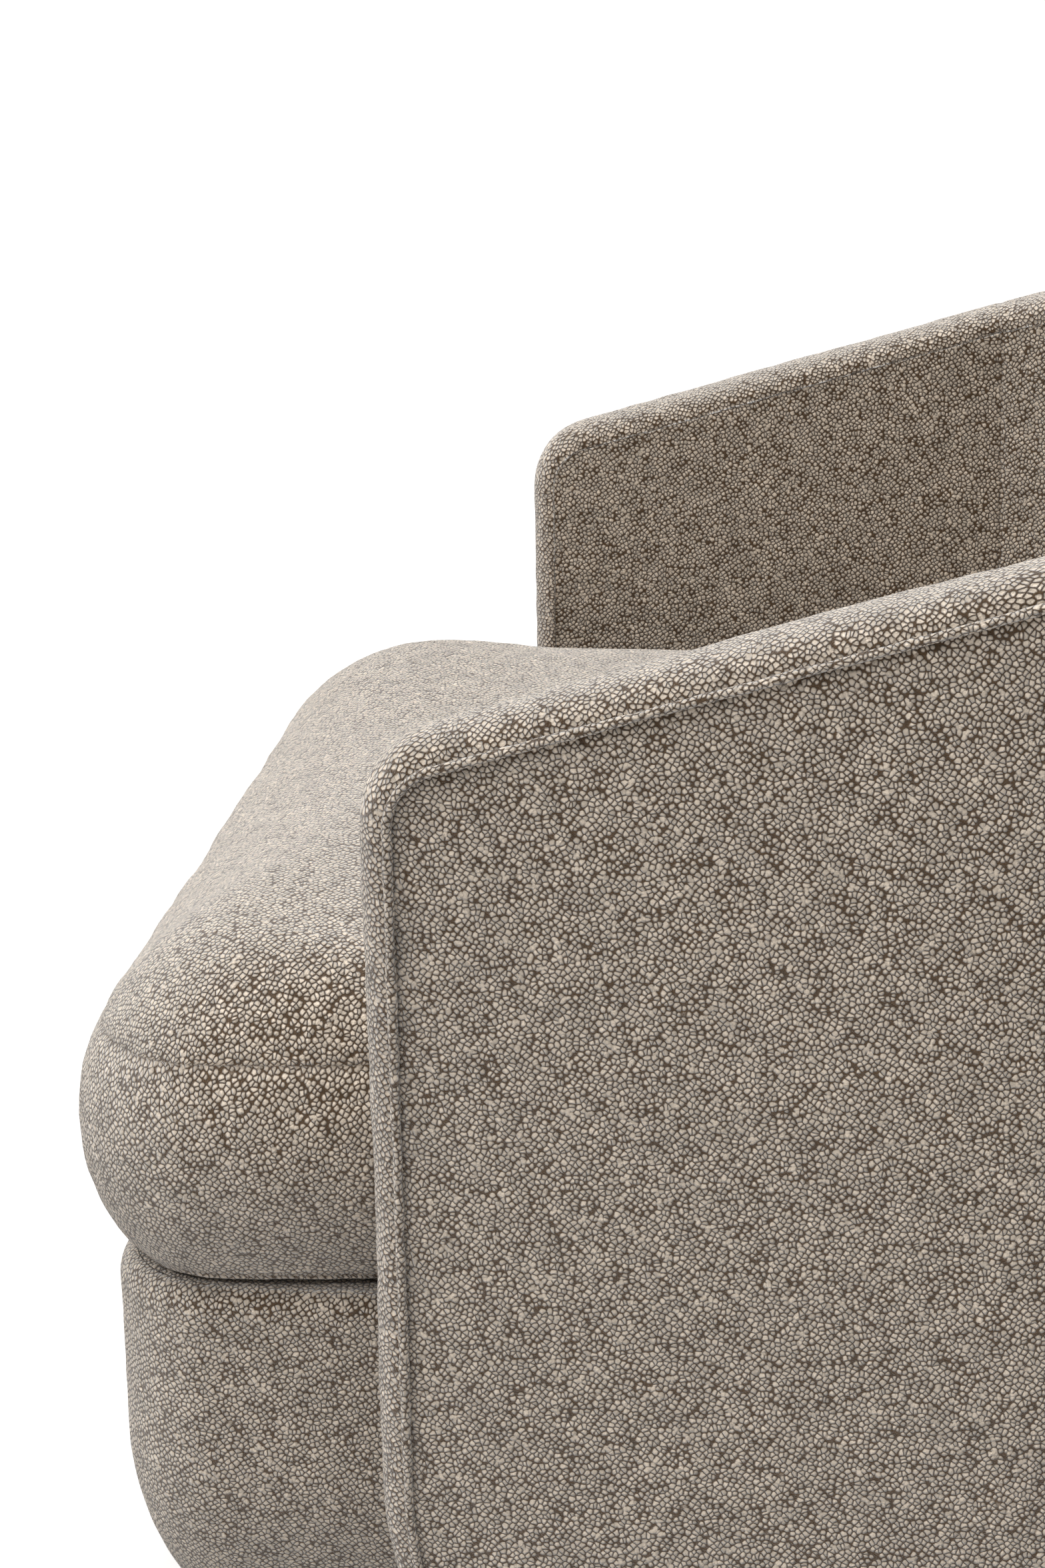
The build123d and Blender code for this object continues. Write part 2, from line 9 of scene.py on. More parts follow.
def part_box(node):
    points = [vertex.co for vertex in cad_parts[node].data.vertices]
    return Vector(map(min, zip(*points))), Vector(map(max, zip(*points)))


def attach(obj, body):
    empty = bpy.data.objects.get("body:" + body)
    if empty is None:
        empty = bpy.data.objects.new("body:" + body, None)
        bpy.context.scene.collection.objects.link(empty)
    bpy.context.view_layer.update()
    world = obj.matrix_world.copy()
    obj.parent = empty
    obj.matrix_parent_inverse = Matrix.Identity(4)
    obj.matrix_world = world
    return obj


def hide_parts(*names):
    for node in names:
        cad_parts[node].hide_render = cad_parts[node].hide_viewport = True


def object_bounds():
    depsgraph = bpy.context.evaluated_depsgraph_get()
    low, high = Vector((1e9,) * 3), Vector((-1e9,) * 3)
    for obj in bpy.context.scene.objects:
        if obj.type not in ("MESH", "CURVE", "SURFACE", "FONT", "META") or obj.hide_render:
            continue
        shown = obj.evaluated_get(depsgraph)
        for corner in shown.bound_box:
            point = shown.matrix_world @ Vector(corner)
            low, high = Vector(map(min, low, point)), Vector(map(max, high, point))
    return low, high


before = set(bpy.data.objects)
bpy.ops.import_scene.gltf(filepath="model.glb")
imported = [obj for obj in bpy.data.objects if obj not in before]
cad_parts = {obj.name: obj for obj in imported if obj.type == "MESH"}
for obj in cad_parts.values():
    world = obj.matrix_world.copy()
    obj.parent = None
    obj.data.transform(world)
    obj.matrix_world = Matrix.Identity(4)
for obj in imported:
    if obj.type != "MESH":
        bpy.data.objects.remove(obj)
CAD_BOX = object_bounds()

bl_info = {
    "name": "Tub armchair in boucle",
    "version": (1, 0, 0),
    "blender": (4, 5, 0),
    "location": "View3D > Sidebar > Armchair",
    "description": "Builds the cloth, cushion, seams and stage of a tub armchair round its frame",
    "category": "Add Mesh",
}

# All lengths are in metres. The chair faces -Y and its left arm is at +X.

CHAIR = "chair"
CUSHION = "seat_cushion"


# ---------------------------------------------------------------- settings

class ShellSettings(bpy.types.PropertyGroup):
    """Sizes of the wrap of arms and back."""

    thickness: bpy.props.FloatProperty(
        name="Arm thickness", description="From an arm's outer face to its inner face",
        default=0.050, unit="LENGTH",
    )
    back_thickness: bpy.props.FloatProperty(
        name="Back thickness", description="From the back's outer face to its inner face",
        default=0.072, unit="LENGTH",
    )
    outer_corner: bpy.props.FloatProperty(
        name="Outer corner", description="Plan radius where an arm's outside turns into the back",
        default=0.240, unit="LENGTH",
    )
    inner_corner: bpy.props.FloatProperty(
        name="Inner corner", description="Plan radius where an arm's inside turns into the back",
        default=0.165, unit="LENGTH",
    )
    front_height: bpy.props.FloatProperty(
        name="Front height", description="Top of the arm, carried forward to its front edge",
        default=0.583, unit="LENGTH",
    )
    run: bpy.props.FloatProperty(
        name="Run", description="Level distance over which the arm's top rises to the back",
        default=0.420, unit="LENGTH",
    )
    front_corner: bpy.props.FloatProperty(
        name="Front corner", description="Side-view radius between an arm's top and front",
        default=0.050, unit="LENGTH",
    )
    blend: bpy.props.FloatProperty(
        name="Blend", description="Side-view radius where the slope levels out",
        default=0.300, unit="LENGTH",
    )
    toe_start: bpy.props.FloatProperty(
        name="Toe start", description="Height below which an arm's front edge curves back",
        default=0.165, unit="LENGTH",
    )
    toe_radius: bpy.props.FloatProperty(
        name="Toe radius", description="Radius of that curve", default=0.250, unit="LENGTH",
    )
    seam_inset: bpy.props.FloatProperty(
        name="Seam inset", description="Outer seam, in from the top and front of the arm",
        default=0.0175, unit="LENGTH",
    )
    welt: bpy.props.FloatProperty(
        name="Welt", description="Radius of the turned edge that stands up along the outer seam",
        default=0.0030, unit="LENGTH",
    )


class SeatSettings(bpy.types.PropertyGroup):
    """Sizes of the loose cushion and of the padded nose under it."""

    overhang: bpy.props.FloatProperty(
        name="Overhang", description="How far the cushion spreads in front of the arms, each side",
        default=0.0066, unit="LENGTH",
    )
    front_corner: bpy.props.FloatProperty(
        name="Front corner", description="Plan radius of the cushion's front corners",
        default=0.085, unit="LENGTH",
    )
    rear_corner: bpy.props.FloatProperty(
        name="Rear corner", description="Plan radius of the cushion's rear corners",
        default=0.160, unit="LENGTH",
    )
    seam_height: bpy.props.FloatProperty(
        name="Seam height", description="Floor to the seam between the top panel and the boxing",
        default=0.385, unit="LENGTH",
    )
    widest_height: bpy.props.FloatProperty(
        name="Widest height", description="Floor to where the boxing bulges most",
        default=0.330, unit="LENGTH",
    )
    seam_draw: bpy.props.FloatProperty(
        name="Seam draw", description="How far the top seam is pulled in from the widest line",
        default=0.014, unit="LENGTH",
    )
    foot_draw: bpy.props.FloatProperty(
        name="Foot draw", description="How far the bottom seam is pulled in from the widest line",
        default=0.027, unit="LENGTH",
    )
    shoulder: bpy.props.FloatProperty(
        name="Front shoulder", description="Level width of the rounded front edge of the top",
        default=0.155, unit="LENGTH",
    )
    side_shoulder: bpy.props.FloatProperty(
        name="Side shoulder",
        description="Level width of the rounded edge of the top beside the arms",
        default=0.060, unit="LENGTH",
    )
    crown: bpy.props.FloatProperty(
        name="Crown", description="Rise of the middle of the top above its rounded edge",
        default=0.006, unit="LENGTH",
    )
    nose_half: bpy.props.FloatProperty(
        name="Nose half width", description="Half the width of the padded nose of the base",
        default=0.336, unit="LENGTH",
    )
    nose_corner: bpy.props.FloatProperty(
        name="Nose corner", description="Plan radius of the nose's corners",
        default=0.065, unit="LENGTH",
    )
    bowl_start: bpy.props.FloatProperty(
        name="Bowl start", description="Height below which the nose curves inwards",
        default=0.135, unit="LENGTH",
    )
    bowl_radius: bpy.props.FloatProperty(
        name="Bowl radius", description="Radius of that curve", default=0.190, unit="LENGTH",
    )


class ClothSettings(bpy.types.PropertyGroup):
    """The looped cloth."""

    light: bpy.props.FloatVectorProperty(
        name="Loop colour", description="Colour of the loops", subtype="COLOR", size=3,
        min=0.0, max=1.0, default=(0.96, 0.82, 0.665),
    )
    # Painted shade: the gaps between the loops and the lower flanks of each loop take this colour,
    # standing in for the shade that falls there.
    gap_shade: bpy.props.FloatVectorProperty(
        name="Gap colour", description="Colour in the gaps between the loops", subtype="COLOR",
        size=3, min=0.0, max=1.0, default=(0.12, 0.072, 0.036),
    )
    pitch: bpy.props.FloatProperty(
        name="Loop pitch", description="Distance from one loop to the next", default=0.0030,
        unit="LENGTH",
    )
    relief: bpy.props.FloatProperty(
        name="Relief", description="Height of the loops", default=0.0022, unit="LENGTH",
    )


def settings():
    """The three groups of settings, as the scene holds them."""
    scene = bpy.context.scene
    return scene.shell_settings, scene.seat_settings, scene.cloth_settings


# ---------------------------------------------------------------- mesh helpers

def make_object(name, points, faces, uvs, material, chart=None):
    """A smooth-shaded mesh object; a chart gives the faces from a number on their own UV pairs."""
    mesh = bpy.data.meshes.new(name)
    mesh.from_pydata([tuple(p) for p in points], [], faces)
    layer = mesh.uv_layers.new(name="cloth")
    first, own = chart or (len(faces), {})
    for polygon in mesh.polygons:
        for loop in polygon.loop_indices:
            number = mesh.loops[loop].vertex_index
            pair = own.get(number, uvs[number]) if polygon.index >= first else uvs[number]
            layer.data[loop].uv = pair
    mesh.materials.append(material)
    mesh.polygons.foreach_set("use_smooth", [True] * len(mesh.polygons))
    mesh.update()
    obj = bpy.data.objects.new(name, mesh)
    bpy.context.scene.collection.objects.link(obj)
    return obj


def grid_faces(columns, rows, start=0, flip=False):
    """Quads of a grid whose points run down one column after another."""
    faces = []
    for i in range(columns - 1):
        for j in range(rows - 1):
            a = start + i * rows + j
            quad = (a, a + rows, a + rows + 1, a + 1)
            faces.append(quad[::-1] if flip else quad)
    return faces


def wave(point, size, height, seed):
    """A smooth, unevenly rolling value for a point."""
    return height * noise.noise(point / size + Vector((seed, 0.37 * seed, 1.7 * seed)))


def soften(obj, size, height, seed):
    """Moves a surface in and out a little, as cloth over foam is never quite flat."""
    normals = [v.normal.copy() for v in obj.data.vertices]
    for vertex, normal in zip(obj.data.vertices, normals):
        broad = wave(vertex.co, size, height, seed)
        fine = wave(vertex.co, size / 9, height / 3, seed + 5)
        vertex.co += normal * (broad + fine)
    obj.data.update()


def steps(first, last, count):
    """Evenly spaced values, both ends included."""
    return [first + (last - first) * k / (count - 1) for k in range(count)]


# ---------------------------------------------------------------- the shell's shape

CORNER_STEPS = 43  # steps of angle round a rear corner
SPLIT = 4  # the shell's side seams stand at this step of its corners
BESIDE_SEAM = (0.35, 0.75, 1.25)  # extra angles beside a side seam, in degrees


@functools.cache
def corner_angles():
    """Angles round a rear corner, close together beside the seam."""
    step = math.pi / 2 / CORNER_STEPS
    seam = SPLIT * step
    angles = {round(k * step, 9) for k in range(CORNER_STEPS + 1)}
    for beside in BESIDE_SEAM:
        angles |= {round(seam + math.radians(beside), 9), round(seam - math.radians(beside), 9)}
    return sorted(angles), round(seam, 9)


class Shell:
    """Side view and plan of the wrap of arms and back."""

    def __init__(self, sizes):
        self.s = sizes
        self.half = CAD_BOX[1].x
        self.rear = CAD_BOX[1].y
        self.height = CAD_BOX[1].z
        self.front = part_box("inner_cover_left")[0].y
        self.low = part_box("outer_cover_left")[0].z
        self.slope = (self.height - sizes.front_height) / sizes.run
        self.tilt = math.atan(self.slope)
        self.corner_y = self.rear - sizes.outer_corner
        self.inner_corner_y = self.rear - sizes.back_thickness - sizes.inner_corner

    def corner(self, inset):
        """Start, radius and reach of the rounded corner between an arm's top and front."""
        radius = self.s.front_corner - inset
        reach = radius * math.tan((math.pi / 2 - self.tilt) / 2)
        return self.front + inset, radius, reach

    def top(self, y, inset):
        """Height of the shell's top at a place from front to rear, drawn in by an inset."""
        s = self.s
        start, radius, reach = self.corner(inset)
        y = max(y, start)
        line = s.front_height - inset / math.cos(self.tilt)
        corner = line + self.slope * inset
        if y < start + reach * math.cos(self.tilt):
            return corner - reach + math.sqrt(max(radius ** 2 - (radius - y + start) ** 2, 0.0))
        level = self.height - inset
        meet = self.front + (level - line) / self.slope
        bend = s.blend - inset
        tangent = bend * math.tan(self.tilt / 2)
        if y < meet - tangent * math.cos(self.tilt):
            return line + self.slope * (y - self.front)
        if y < meet + tangent:
            return level - bend + math.sqrt(bend ** 2 - (meet + tangent - y) ** 2)
        return level

    def toe(self, y, inset):
        """Height of the arm's lower edge, which curves up to its front."""
        s = self.s
        radius = s.toe_radius - inset
        ahead = radius - max(y - self.front - inset, 0.0)
        if ahead < 0:
            return self.low
        return max(self.low, s.toe_start - math.sqrt(max(radius ** 2 - ahead ** 2, 0.0)))

    def places(self, inset):
        """Stations along an arm from its front seam to where it turns, close together in front."""
        start, radius, _ = self.corner(inset)
        near = [start + radius * (1 - math.cos(a)) for a in steps(0.0, math.pi / 2, 12)]
        count = int((self.corner_y - near[-1]) / 0.008) + 1
        return near + steps(near[-1], self.corner_y, count)[1:]

    def plan(self, inset):
        """Stations round the shell: outer point, inner point, outward direction and arm flag."""
        s = self.s
        start = self.front + inset
        stretch = (self.inner_corner_y - start) / (self.corner_y - start)
        side = []
        face = self.half - s.thickness
        for y in self.places(inset):
            inner = start + (y - start) * stretch
            side.append(((self.half, y), (face, inner), (1.0, 0.0)))
        outer_x = self.half - s.outer_corner
        inner_x = face - s.inner_corner
        angles, seam = corner_angles()
        mark = len(side) + angles.index(seam) - 1
        for angle in angles[1:]:
            c, n = math.cos(angle), math.sin(angle)
            outer = (outer_x + s.outer_corner * c, self.corner_y + s.outer_corner * n)
            inner = (inner_x + s.inner_corner * c, self.inner_corner_y + s.inner_corner * n)
            side.append((outer, inner, (c, n)))
        half_back = []
        for k in steps(1.0, 0.0, 24)[1:]:
            inner = (inner_x * k, self.rear - s.back_thickness)
            half_back.append(((outer_x * k, self.rear), inner, (0.0, 1.0)))
        one = side + half_back
        other = [((-o[0], o[1]), (-i[0], i[1]), (-n[0], n[1])) for o, i, n in reversed(one[:-1])]
        return one + other, mark

    def top_normal(self, y, inset):
        """Side-view direction square to the shell's top."""
        start, radius, reach = self.corner(inset)
        if y < start + reach * math.cos(self.tilt):
            across = y - start - radius
            return Vector((across, math.sqrt(max(radius ** 2 - across ** 2, 0.0)))).normalized()
        aside = 0.002
        rise = (self.top(y + aside, inset) - self.top(y - aside, inset)) / (2 * aside)
        return Vector((-rise, 1.0)).normalized()

    def toe_normal(self, y, inset):
        """Side-view direction square to the toe's curve."""
        across = y - self.front - self.s.toe_radius
        return Vector((across, self.toe(y, inset) - self.s.toe_start)).normalized()

    def depth(self, y, z, inset):
        """How far a place in the side view lies inside the drawn-in outline, its foot apart."""
        s = self.s
        start, radius, reach = self.corner(inset)
        line = s.front_height - inset / math.cos(self.tilt)
        corner = line + self.slope * inset
        found = [(self.top(y, inset) - z) * math.cos(self.tilt), y - start]
        if y < start + radius and z > corner - reach:
            found = [radius - math.hypot(y - start - radius, z - corner + reach)]
        toe = s.toe_radius - inset
        if y < start + toe and z < s.toe_start:
            found.append(toe - math.hypot(y - start - toe, z - s.toe_start))
        return min(found)


def run_lengths(points):
    """Distance along a line of points, at each of them."""
    total, lengths = 0.0, [0.0]
    for a, b in zip(points, points[1:]):
        total += (Vector(b) - Vector(a)).length
        lengths.append(total)
    return lengths


# ---------------------------------------------------------------- cloth

def add_node(tree, kind, **values):
    """A node of a kind, with its plain properties set."""
    node = tree.nodes.new(kind)
    for name, value in values.items():
        setattr(node, name, value)
    return node


def connect(tree, value, socket):
    """Feeds a socket from another socket, or sets it to a plain value."""
    if isinstance(value, bpy.types.NodeSocket):
        tree.links.new(value, socket)
    else:
        socket.default_value = value


def calc(tree, operation, first, second=0.0, clamp=False):
    """One sum in a shader tree."""
    node = add_node(tree, "ShaderNodeMath", operation=operation, use_clamp=clamp)
    connect(tree, first, node.inputs[0])
    connect(tree, second, node.inputs[1])
    return node.outputs[0]


def remap(tree, value, low, high, to_low=0.0, to_high=1.0, smooth=True):
    """A value carried from one range to another, held at both ends."""
    kind = "SMOOTHSTEP" if smooth else "LINEAR"
    node = add_node(tree, "ShaderNodeMapRange", interpolation_type=kind)
    for socket, item in zip(node.inputs, (value, low, high, to_low, to_high)):
        connect(tree, item, socket)
    return node.outputs[0]


def mix_colour(tree, share, first, second, blend="MIX"):
    """Two colours mixed by a share."""
    node = add_node(tree, "ShaderNodeMix", data_type="RGBA", blend_type=blend)
    connect(tree, share, node.inputs[0])
    connect(tree, first, node.inputs[6])
    connect(tree, second, node.inputs[7])
    return node.outputs[2]


def new_group(name, inputs, outputs):
    """An empty shader group with named sockets."""
    group = bpy.data.node_groups.new(name, "ShaderNodeTree")
    for label, kind, value in inputs:
        socket = group.interface.new_socket(name=label, in_out="INPUT", socket_type=kind)
        if value is not None:
            socket.default_value = value
    for label, kind in outputs:
        group.interface.new_socket(name=label, in_out="OUTPUT", socket_type=kind)
    start = group.nodes.new("NodeGroupInput")
    end = group.nodes.new("NodeGroupOutput")
    return group, start.outputs, end.inputs


def add_noise(tree, source, scale, detail=2.0, roughness=0.5):
    """Outputs of a noise texture read at a place."""
    node = add_node(tree, "ShaderNodeTexNoise", noise_dimensions="3D")
    tree.links.new(source, node.inputs["Vector"])
    connect(tree, scale, node.inputs["Scale"])
    node.inputs["Detail"].default_value = detail
    node.inputs["Roughness"].default_value = roughness
    return node.outputs


def add_cells(tree, source, scale, feature="F1", randomness=1.0):
    """Outputs of a flat pattern of cells read at a place."""
    node = add_node(tree, "ShaderNodeTexVoronoi", voronoi_dimensions="2D", feature=feature)
    tree.links.new(source, node.inputs["Vector"])
    node.inputs["Scale"].default_value = scale
    node.inputs["Randomness"].default_value = randomness
    return node.outputs


def split_colour(tree, colour):
    """The three channels of a colour, each an independent random number for a cell."""
    node = add_node(tree, "ShaderNodeSeparateColor")
    tree.links.new(colour, node.inputs[0])
    return node.outputs


def shade_colour(tree, colour, value):
    """A colour made lighter or darker."""
    node = add_node(tree, "ShaderNodeHueSaturation")
    tree.links.new(colour, node.inputs["Color"])
    tree.links.new(value, node.inputs["Value"])
    return node.outputs[0]


def new_material(name):
    """A material, its tree and its main shader."""
    material = bpy.data.materials.new(name)
    material.use_nodes = True
    return material, material.node_tree, material.node_tree.nodes["Principled BSDF"]


def place_group(tree, name, make, source, **values):
    """Outputs of a shader group in a material; the group is made when it is first needed."""
    node = add_node(tree, "ShaderNodeGroup")
    node.node_tree = bpy.data.node_groups.get(name) or make()
    tree.links.new(source, node.inputs["Vector"])
    for label, value in values.items():
        node.inputs[label].default_value = value
    return node.outputs


def add_bump(tree, shader, height, strength, distance):
    """Relief on a material from a height."""
    bump = add_node(tree, "ShaderNodeBump")
    bump.inputs["Strength"].default_value = strength
    bump.inputs["Distance"].default_value = distance
    tree.links.new(height, bump.inputs["Height"])
    tree.links.new(bump.outputs[0], shader.inputs["Normal"])


def own_axes(tree):
    """Places on the object's own axes."""
    return add_node(tree, "ShaderNodeTexCoord").outputs["Object"]


def loop_group():
    """Looped yarn: rounded loops on an uneven slanting grid, with fibre on them."""
    inputs = [
        ("Vector", "NodeSocketVector", None),
        ("Pitch", "NodeSocketFloat", 0.0033),
        ("Unevenness", "NodeSocketFloat", 0.4),
        ("Light", "NodeSocketColor", (0.6, 0.55, 0.5, 1.0)),
        ("Dark", "NodeSocketColor", (0.1, 0.08, 0.06, 1.0)),
    ]
    outputs = [("Colour", "NodeSocketColor"), ("Height", "NodeSocketFloat")]
    tree, start, end = new_group("looped_yarn", inputs, outputs)
    place = add_node(tree, "ShaderNodeVectorMath", operation="SCALE")
    tree.links.new(start["Vector"], place.inputs[0])
    connect(tree, calc(tree, "DIVIDE", 1.0, start["Pitch"]), place.inputs["Scale"])
    turn = add_node(tree, "ShaderNodeVectorRotate", rotation_type="Z_AXIS")
    tree.links.new(place.outputs[0], turn.inputs["Vector"])
    turn.inputs["Angle"].default_value = math.radians(38)
    slanted = turn.outputs[0]

    # The rows of loops wander.
    centred = add_node(tree, "ShaderNodeVectorMath", operation="SUBTRACT")
    tree.links.new(add_noise(tree, slanted, 0.38)["Color"], centred.inputs[0])
    centred.inputs[1].default_value = (0.5, 0.5, 0.5)
    strength = add_node(tree, "ShaderNodeVectorMath", operation="SCALE")
    tree.links.new(centred.outputs[0], strength.inputs[0])
    connect(tree, calc(tree, "MULTIPLY", start["Unevenness"], 1.9), strength.inputs["Scale"])
    warp = add_node(tree, "ShaderNodeVectorMath", operation="ADD")
    tree.links.new(slanted, warp.inputs[0])
    tree.links.new(strength.outputs[0], warp.inputs[1])
    warped = warp.outputs[0]

    # Each loop is a dome of its own size, and smaller where the yarn is sparse.
    scatter = 0.72
    loops = add_cells(tree, warped, 1.0, randomness=scatter)
    chance = split_colour(tree, loops["Color"])
    size = remap(tree, chance[0], 0.0, 1.0, 0.56, 0.92, smooth=False)
    sparse = remap(tree, add_noise(tree, slanted, 0.24)["Fac"], 0.36, 0.60, 0.70, 1.05)
    size = calc(tree, "MULTIPLY", size, sparse)
    dome = calc(tree, "DIVIDE", loops["Distance"], size)
    dome = calc(tree, "SUBTRACT", 1.0, calc(tree, "POWER", dome, 2.0), clamp=True)

    # Rare knots stand out, and every loop falls away to its rim.
    knots = add_cells(tree, warped, 0.55)
    big = remap(tree, split_colour(tree, knots["Color"])[1], 0.80, 0.95)
    big = calc(tree, "MULTIPLY", big, remap(tree, knots["Distance"], 0.42, 0.10))
    rims = add_cells(tree, warped, 1.0, "DISTANCE_TO_EDGE", scatter)
    dome = calc(tree, "MULTIPLY", dome, remap(tree, rims["Distance"], 0.01, 0.21, 0.08, 1.0))
    height = calc(tree, "MAXIMUM", dome, calc(tree, "MULTIPLY", big, 1.08))

    fibre = add_noise(tree, warped, 3.6, 4.0, 0.62)["Fac"]
    fuzz = remap(tree, fibre, 0.3, 0.7, -0.16, 0.16, smooth=False)
    height = calc(tree, "ADD", height, fuzz)

    # Painted shade: low parts of the cloth, in the gaps and on the flanks of the loops, are mixed
    # toward the gap shade colour, and the loop colour shows on their tops.
    share = remap(tree, height, 0.04, 0.74)
    patches = add_noise(tree, place.outputs[0], 0.09, 3.0)["Fac"]
    shade = remap(tree, patches, 0.3, 0.7, 0.93, 1.06, smooth=False)
    own = remap(tree, chance[1], 0.0, 1.0, 0.74, 1.12, smooth=False)
    colour = mix_colour(tree, share, start["Dark"], start["Light"])
    colour = shade_colour(tree, colour, calc(tree, "MULTIPLY", shade, own))
    tree.links.new(colour, end["Colour"])
    tree.links.new(height, end["Height"])
    return tree


def loop_cloth(name):
    """The looped cloth as a material, placed on the piece's own UVs, with painted shade in its
    seams.
    """
    cloth = settings()[2]
    material, tree, shader = new_material(name)
    source = add_node(tree, "ShaderNodeUVMap", uv_map="cloth").outputs[0]
    gap_shade = (*cloth.gap_shade, 1.0)
    yarn = place_group(
        tree, "looped_yarn", loop_group, source,
        Pitch=cloth.pitch, Light=(*cloth.light, 1.0), Dark=gap_shade,
    )
    # Painted shade: a value on each point mixes the loops toward the gap shade colour along the
    # seams.
    painted_seam_shade = add_node(tree, "ShaderNodeAttribute", attribute_name="painted_seam_shade").outputs["Fac"]
    darker = mix_colour(tree, painted_seam_shade, yarn["Colour"], gap_shade)
    tree.links.new(darker, shader.inputs["Base Color"])
    add_bump(tree, shader, yarn["Height"], 1.0, cloth.relief)
    shader.inputs["Roughness"].default_value = 0.95
    shader.inputs["Specular IOR Level"].default_value = 0.15
    shader.inputs["Sheen Weight"].default_value = 1.0
    shader.inputs["Sheen Roughness"].default_value = 0.32
    shader.inputs["Sheen Tint"].default_value = (1.0, 0.99, 0.98, 1.0)
    return material


def plain_cloth(name, colour, pitch, strength=0.4):
    """A thin plain-weave cloth on the object's own axes."""
    material, tree, shader = new_material(name)
    weave = place_group(
        tree, "plain_weave", weave_group, own_axes(tree), Pitch=pitch, Colour=(*colour, 1.0),
    )
    tree.links.new(weave["Colour"], shader.inputs["Base Color"])
    add_bump(tree, shader, weave["Height"], strength, 0.0004)
    shader.inputs["Roughness"].default_value = 0.85
    return material


def weave_group():
    """Plain weave: threads that cross over and under along X and Y plus Z."""
    inputs = [
        ("Vector", "NodeSocketVector", None),
        ("Pitch", "NodeSocketFloat", 0.001),
        ("Colour", "NodeSocketColor", (0.1, 0.1, 0.1, 1.0)),
    ]
    outputs = [("Colour", "NodeSocketColor"), ("Height", "NodeSocketFloat")]
    tree, start, end = new_group("plain_weave", inputs, outputs)
    split = add_node(tree, "ShaderNodeSeparateXYZ")
    tree.links.new(start["Vector"], split.inputs[0])
    turn = calc(tree, "DIVIDE", math.pi, start["Pitch"])
    across = calc(tree, "SINE", calc(tree, "MULTIPLY", split.outputs[0], turn))
    along = calc(tree, "ADD", split.outputs[1], split.outputs[2])
    along = calc(tree, "SINE", calc(tree, "MULTIPLY", along, turn))
    cross = calc(tree, "MULTIPLY", across, along)
    slub = add_noise(tree, start["Vector"], 140.0, 4.0)["Fac"]
    height = calc(tree, "ADD", calc(tree, "ABSOLUTE", cross), slub)
    value = remap(tree, height, 0.2, 1.5, 0.72, 1.15, smooth=False)
    tree.links.new(shade_colour(tree, start["Colour"], value), end["Colour"])
    tree.links.new(height, end["Height"])
    return tree


def wear_group():
    """Slow, uneven dirt and handling marks, as a mask."""
    inputs = [("Vector", "NodeSocketVector", None), ("Scale", "NodeSocketFloat", 20.0)]
    tree, start, end = new_group("handling_marks", inputs, [("Mask", "NodeSocketFloat")])
    broad = add_noise(tree, start["Vector"], start["Scale"], 6.0, 0.65)["Fac"]
    tree.links.new(remap(tree, broad, 0.38, 0.66), end["Mask"])
    return tree


def hard_finish(
    name, colour, second, roughness, scale, metal=0.0, stretch=(1.0, 1.0, 1.0), relief=0.0002,
):
    """A hard or filled material: two tones in marks that may be drawn out along an axis."""
    material, tree, shader = new_material(name)
    place = add_node(tree, "ShaderNodeMapping")
    tree.links.new(own_axes(tree), place.inputs["Vector"])
    place.inputs["Scale"].default_value = stretch
    marks = place_group(tree, "handling_marks", wear_group, place.outputs[0], Scale=scale)["Mask"]
    tone = mix_colour(tree, marks, (*colour, 1.0), (*second, 1.0))
    tree.links.new(tone, shader.inputs["Base Color"])
    spread = 0.08
    rough = remap(tree, marks, 0.0, 1.0, roughness - spread, roughness + spread, smooth=False)
    tree.links.new(rough, shader.inputs["Roughness"])
    add_bump(tree, shader, marks, 0.35, relief)
    shader.inputs["Metallic"].default_value = metal
    return material


# ---------------------------------------------------------------- outer panels

def split_stations(stations, mark):
    """Left, rear and right runs of stations, which share the ones at the two seams."""
    end = len(stations) - 1
    return {"left": (0, mark), "back": (mark, end - mark), "right": (end - mark, end)}


def set_values(mesh, name, values):
    """A float attribute on the points of a mesh."""
    layer = mesh.attributes.get(name) or mesh.attributes.new(name, "FLOAT", "POINT")
    layer.data.foreach_set("value", values)


def refine(obj):
    """Divides a piece's faces once and keeps the result as its mesh."""
    modifier = obj.modifiers.new("finer", "SUBSURF")
    modifier.levels = modifier.render_levels = 1
    bake(obj)


def bake(obj):
    """Turns the evaluated piece into a plain mesh and takes its modifiers off."""
    graph = bpy.context.evaluated_depsgraph_get()
    mesh = bpy.data.meshes.new_from_object(obj.evaluated_get(graph), depsgraph=graph)
    obj.modifiers.clear()
    old = obj.data
    obj.data = mesh
    mesh.name = obj.name
    bpy.data.meshes.remove(old)


# Each seam's pull on the cloth: depth and reach of its draw, then of the puckers beside it.
OUTER_SEAM = (0.0016, 0.0042, 0.0009, 0.022)
SIDE_SEAM = (0.0012, 0.0028, 0.0005, 0.014)
CUSHION_SEAM = (0.0010, 0.0040, 0.0009, 0.020)
# Painted shade beside a side seam: how strong it is, and how far it reaches.
SIDE_SHADE = (0.4, 0.0011)


def gather(away, reach):
    """Share of a seam's pull at a distance from it."""
    return math.exp(-((away / reach) ** 2))


def seam_pull(away, seam, pucker):
    """How far a seam draws the cloth in at a distance from it."""
    depth, reach, pucker_depth, pucker_reach = seam
    return depth * gather(away, reach) + pucker_depth * pucker * gather(away, pucker_reach)


def seam_distance(shell, plan_point, outer):
    """Distance along the shell's plan from its nearer side seam."""
    y = plan_point[1]
    radius = shell.s.outer_corner if outer else shell.s.inner_corner
    centre = shell.corner_y if outer else shell.inner_corner_y
    seam = corner_angles()[1]
    if y < centre:
        return centre - y + radius * seam
    angle = math.asin(min(max((y - centre) / radius, -1.0), 1.0))
    return abs(angle - seam) * radius


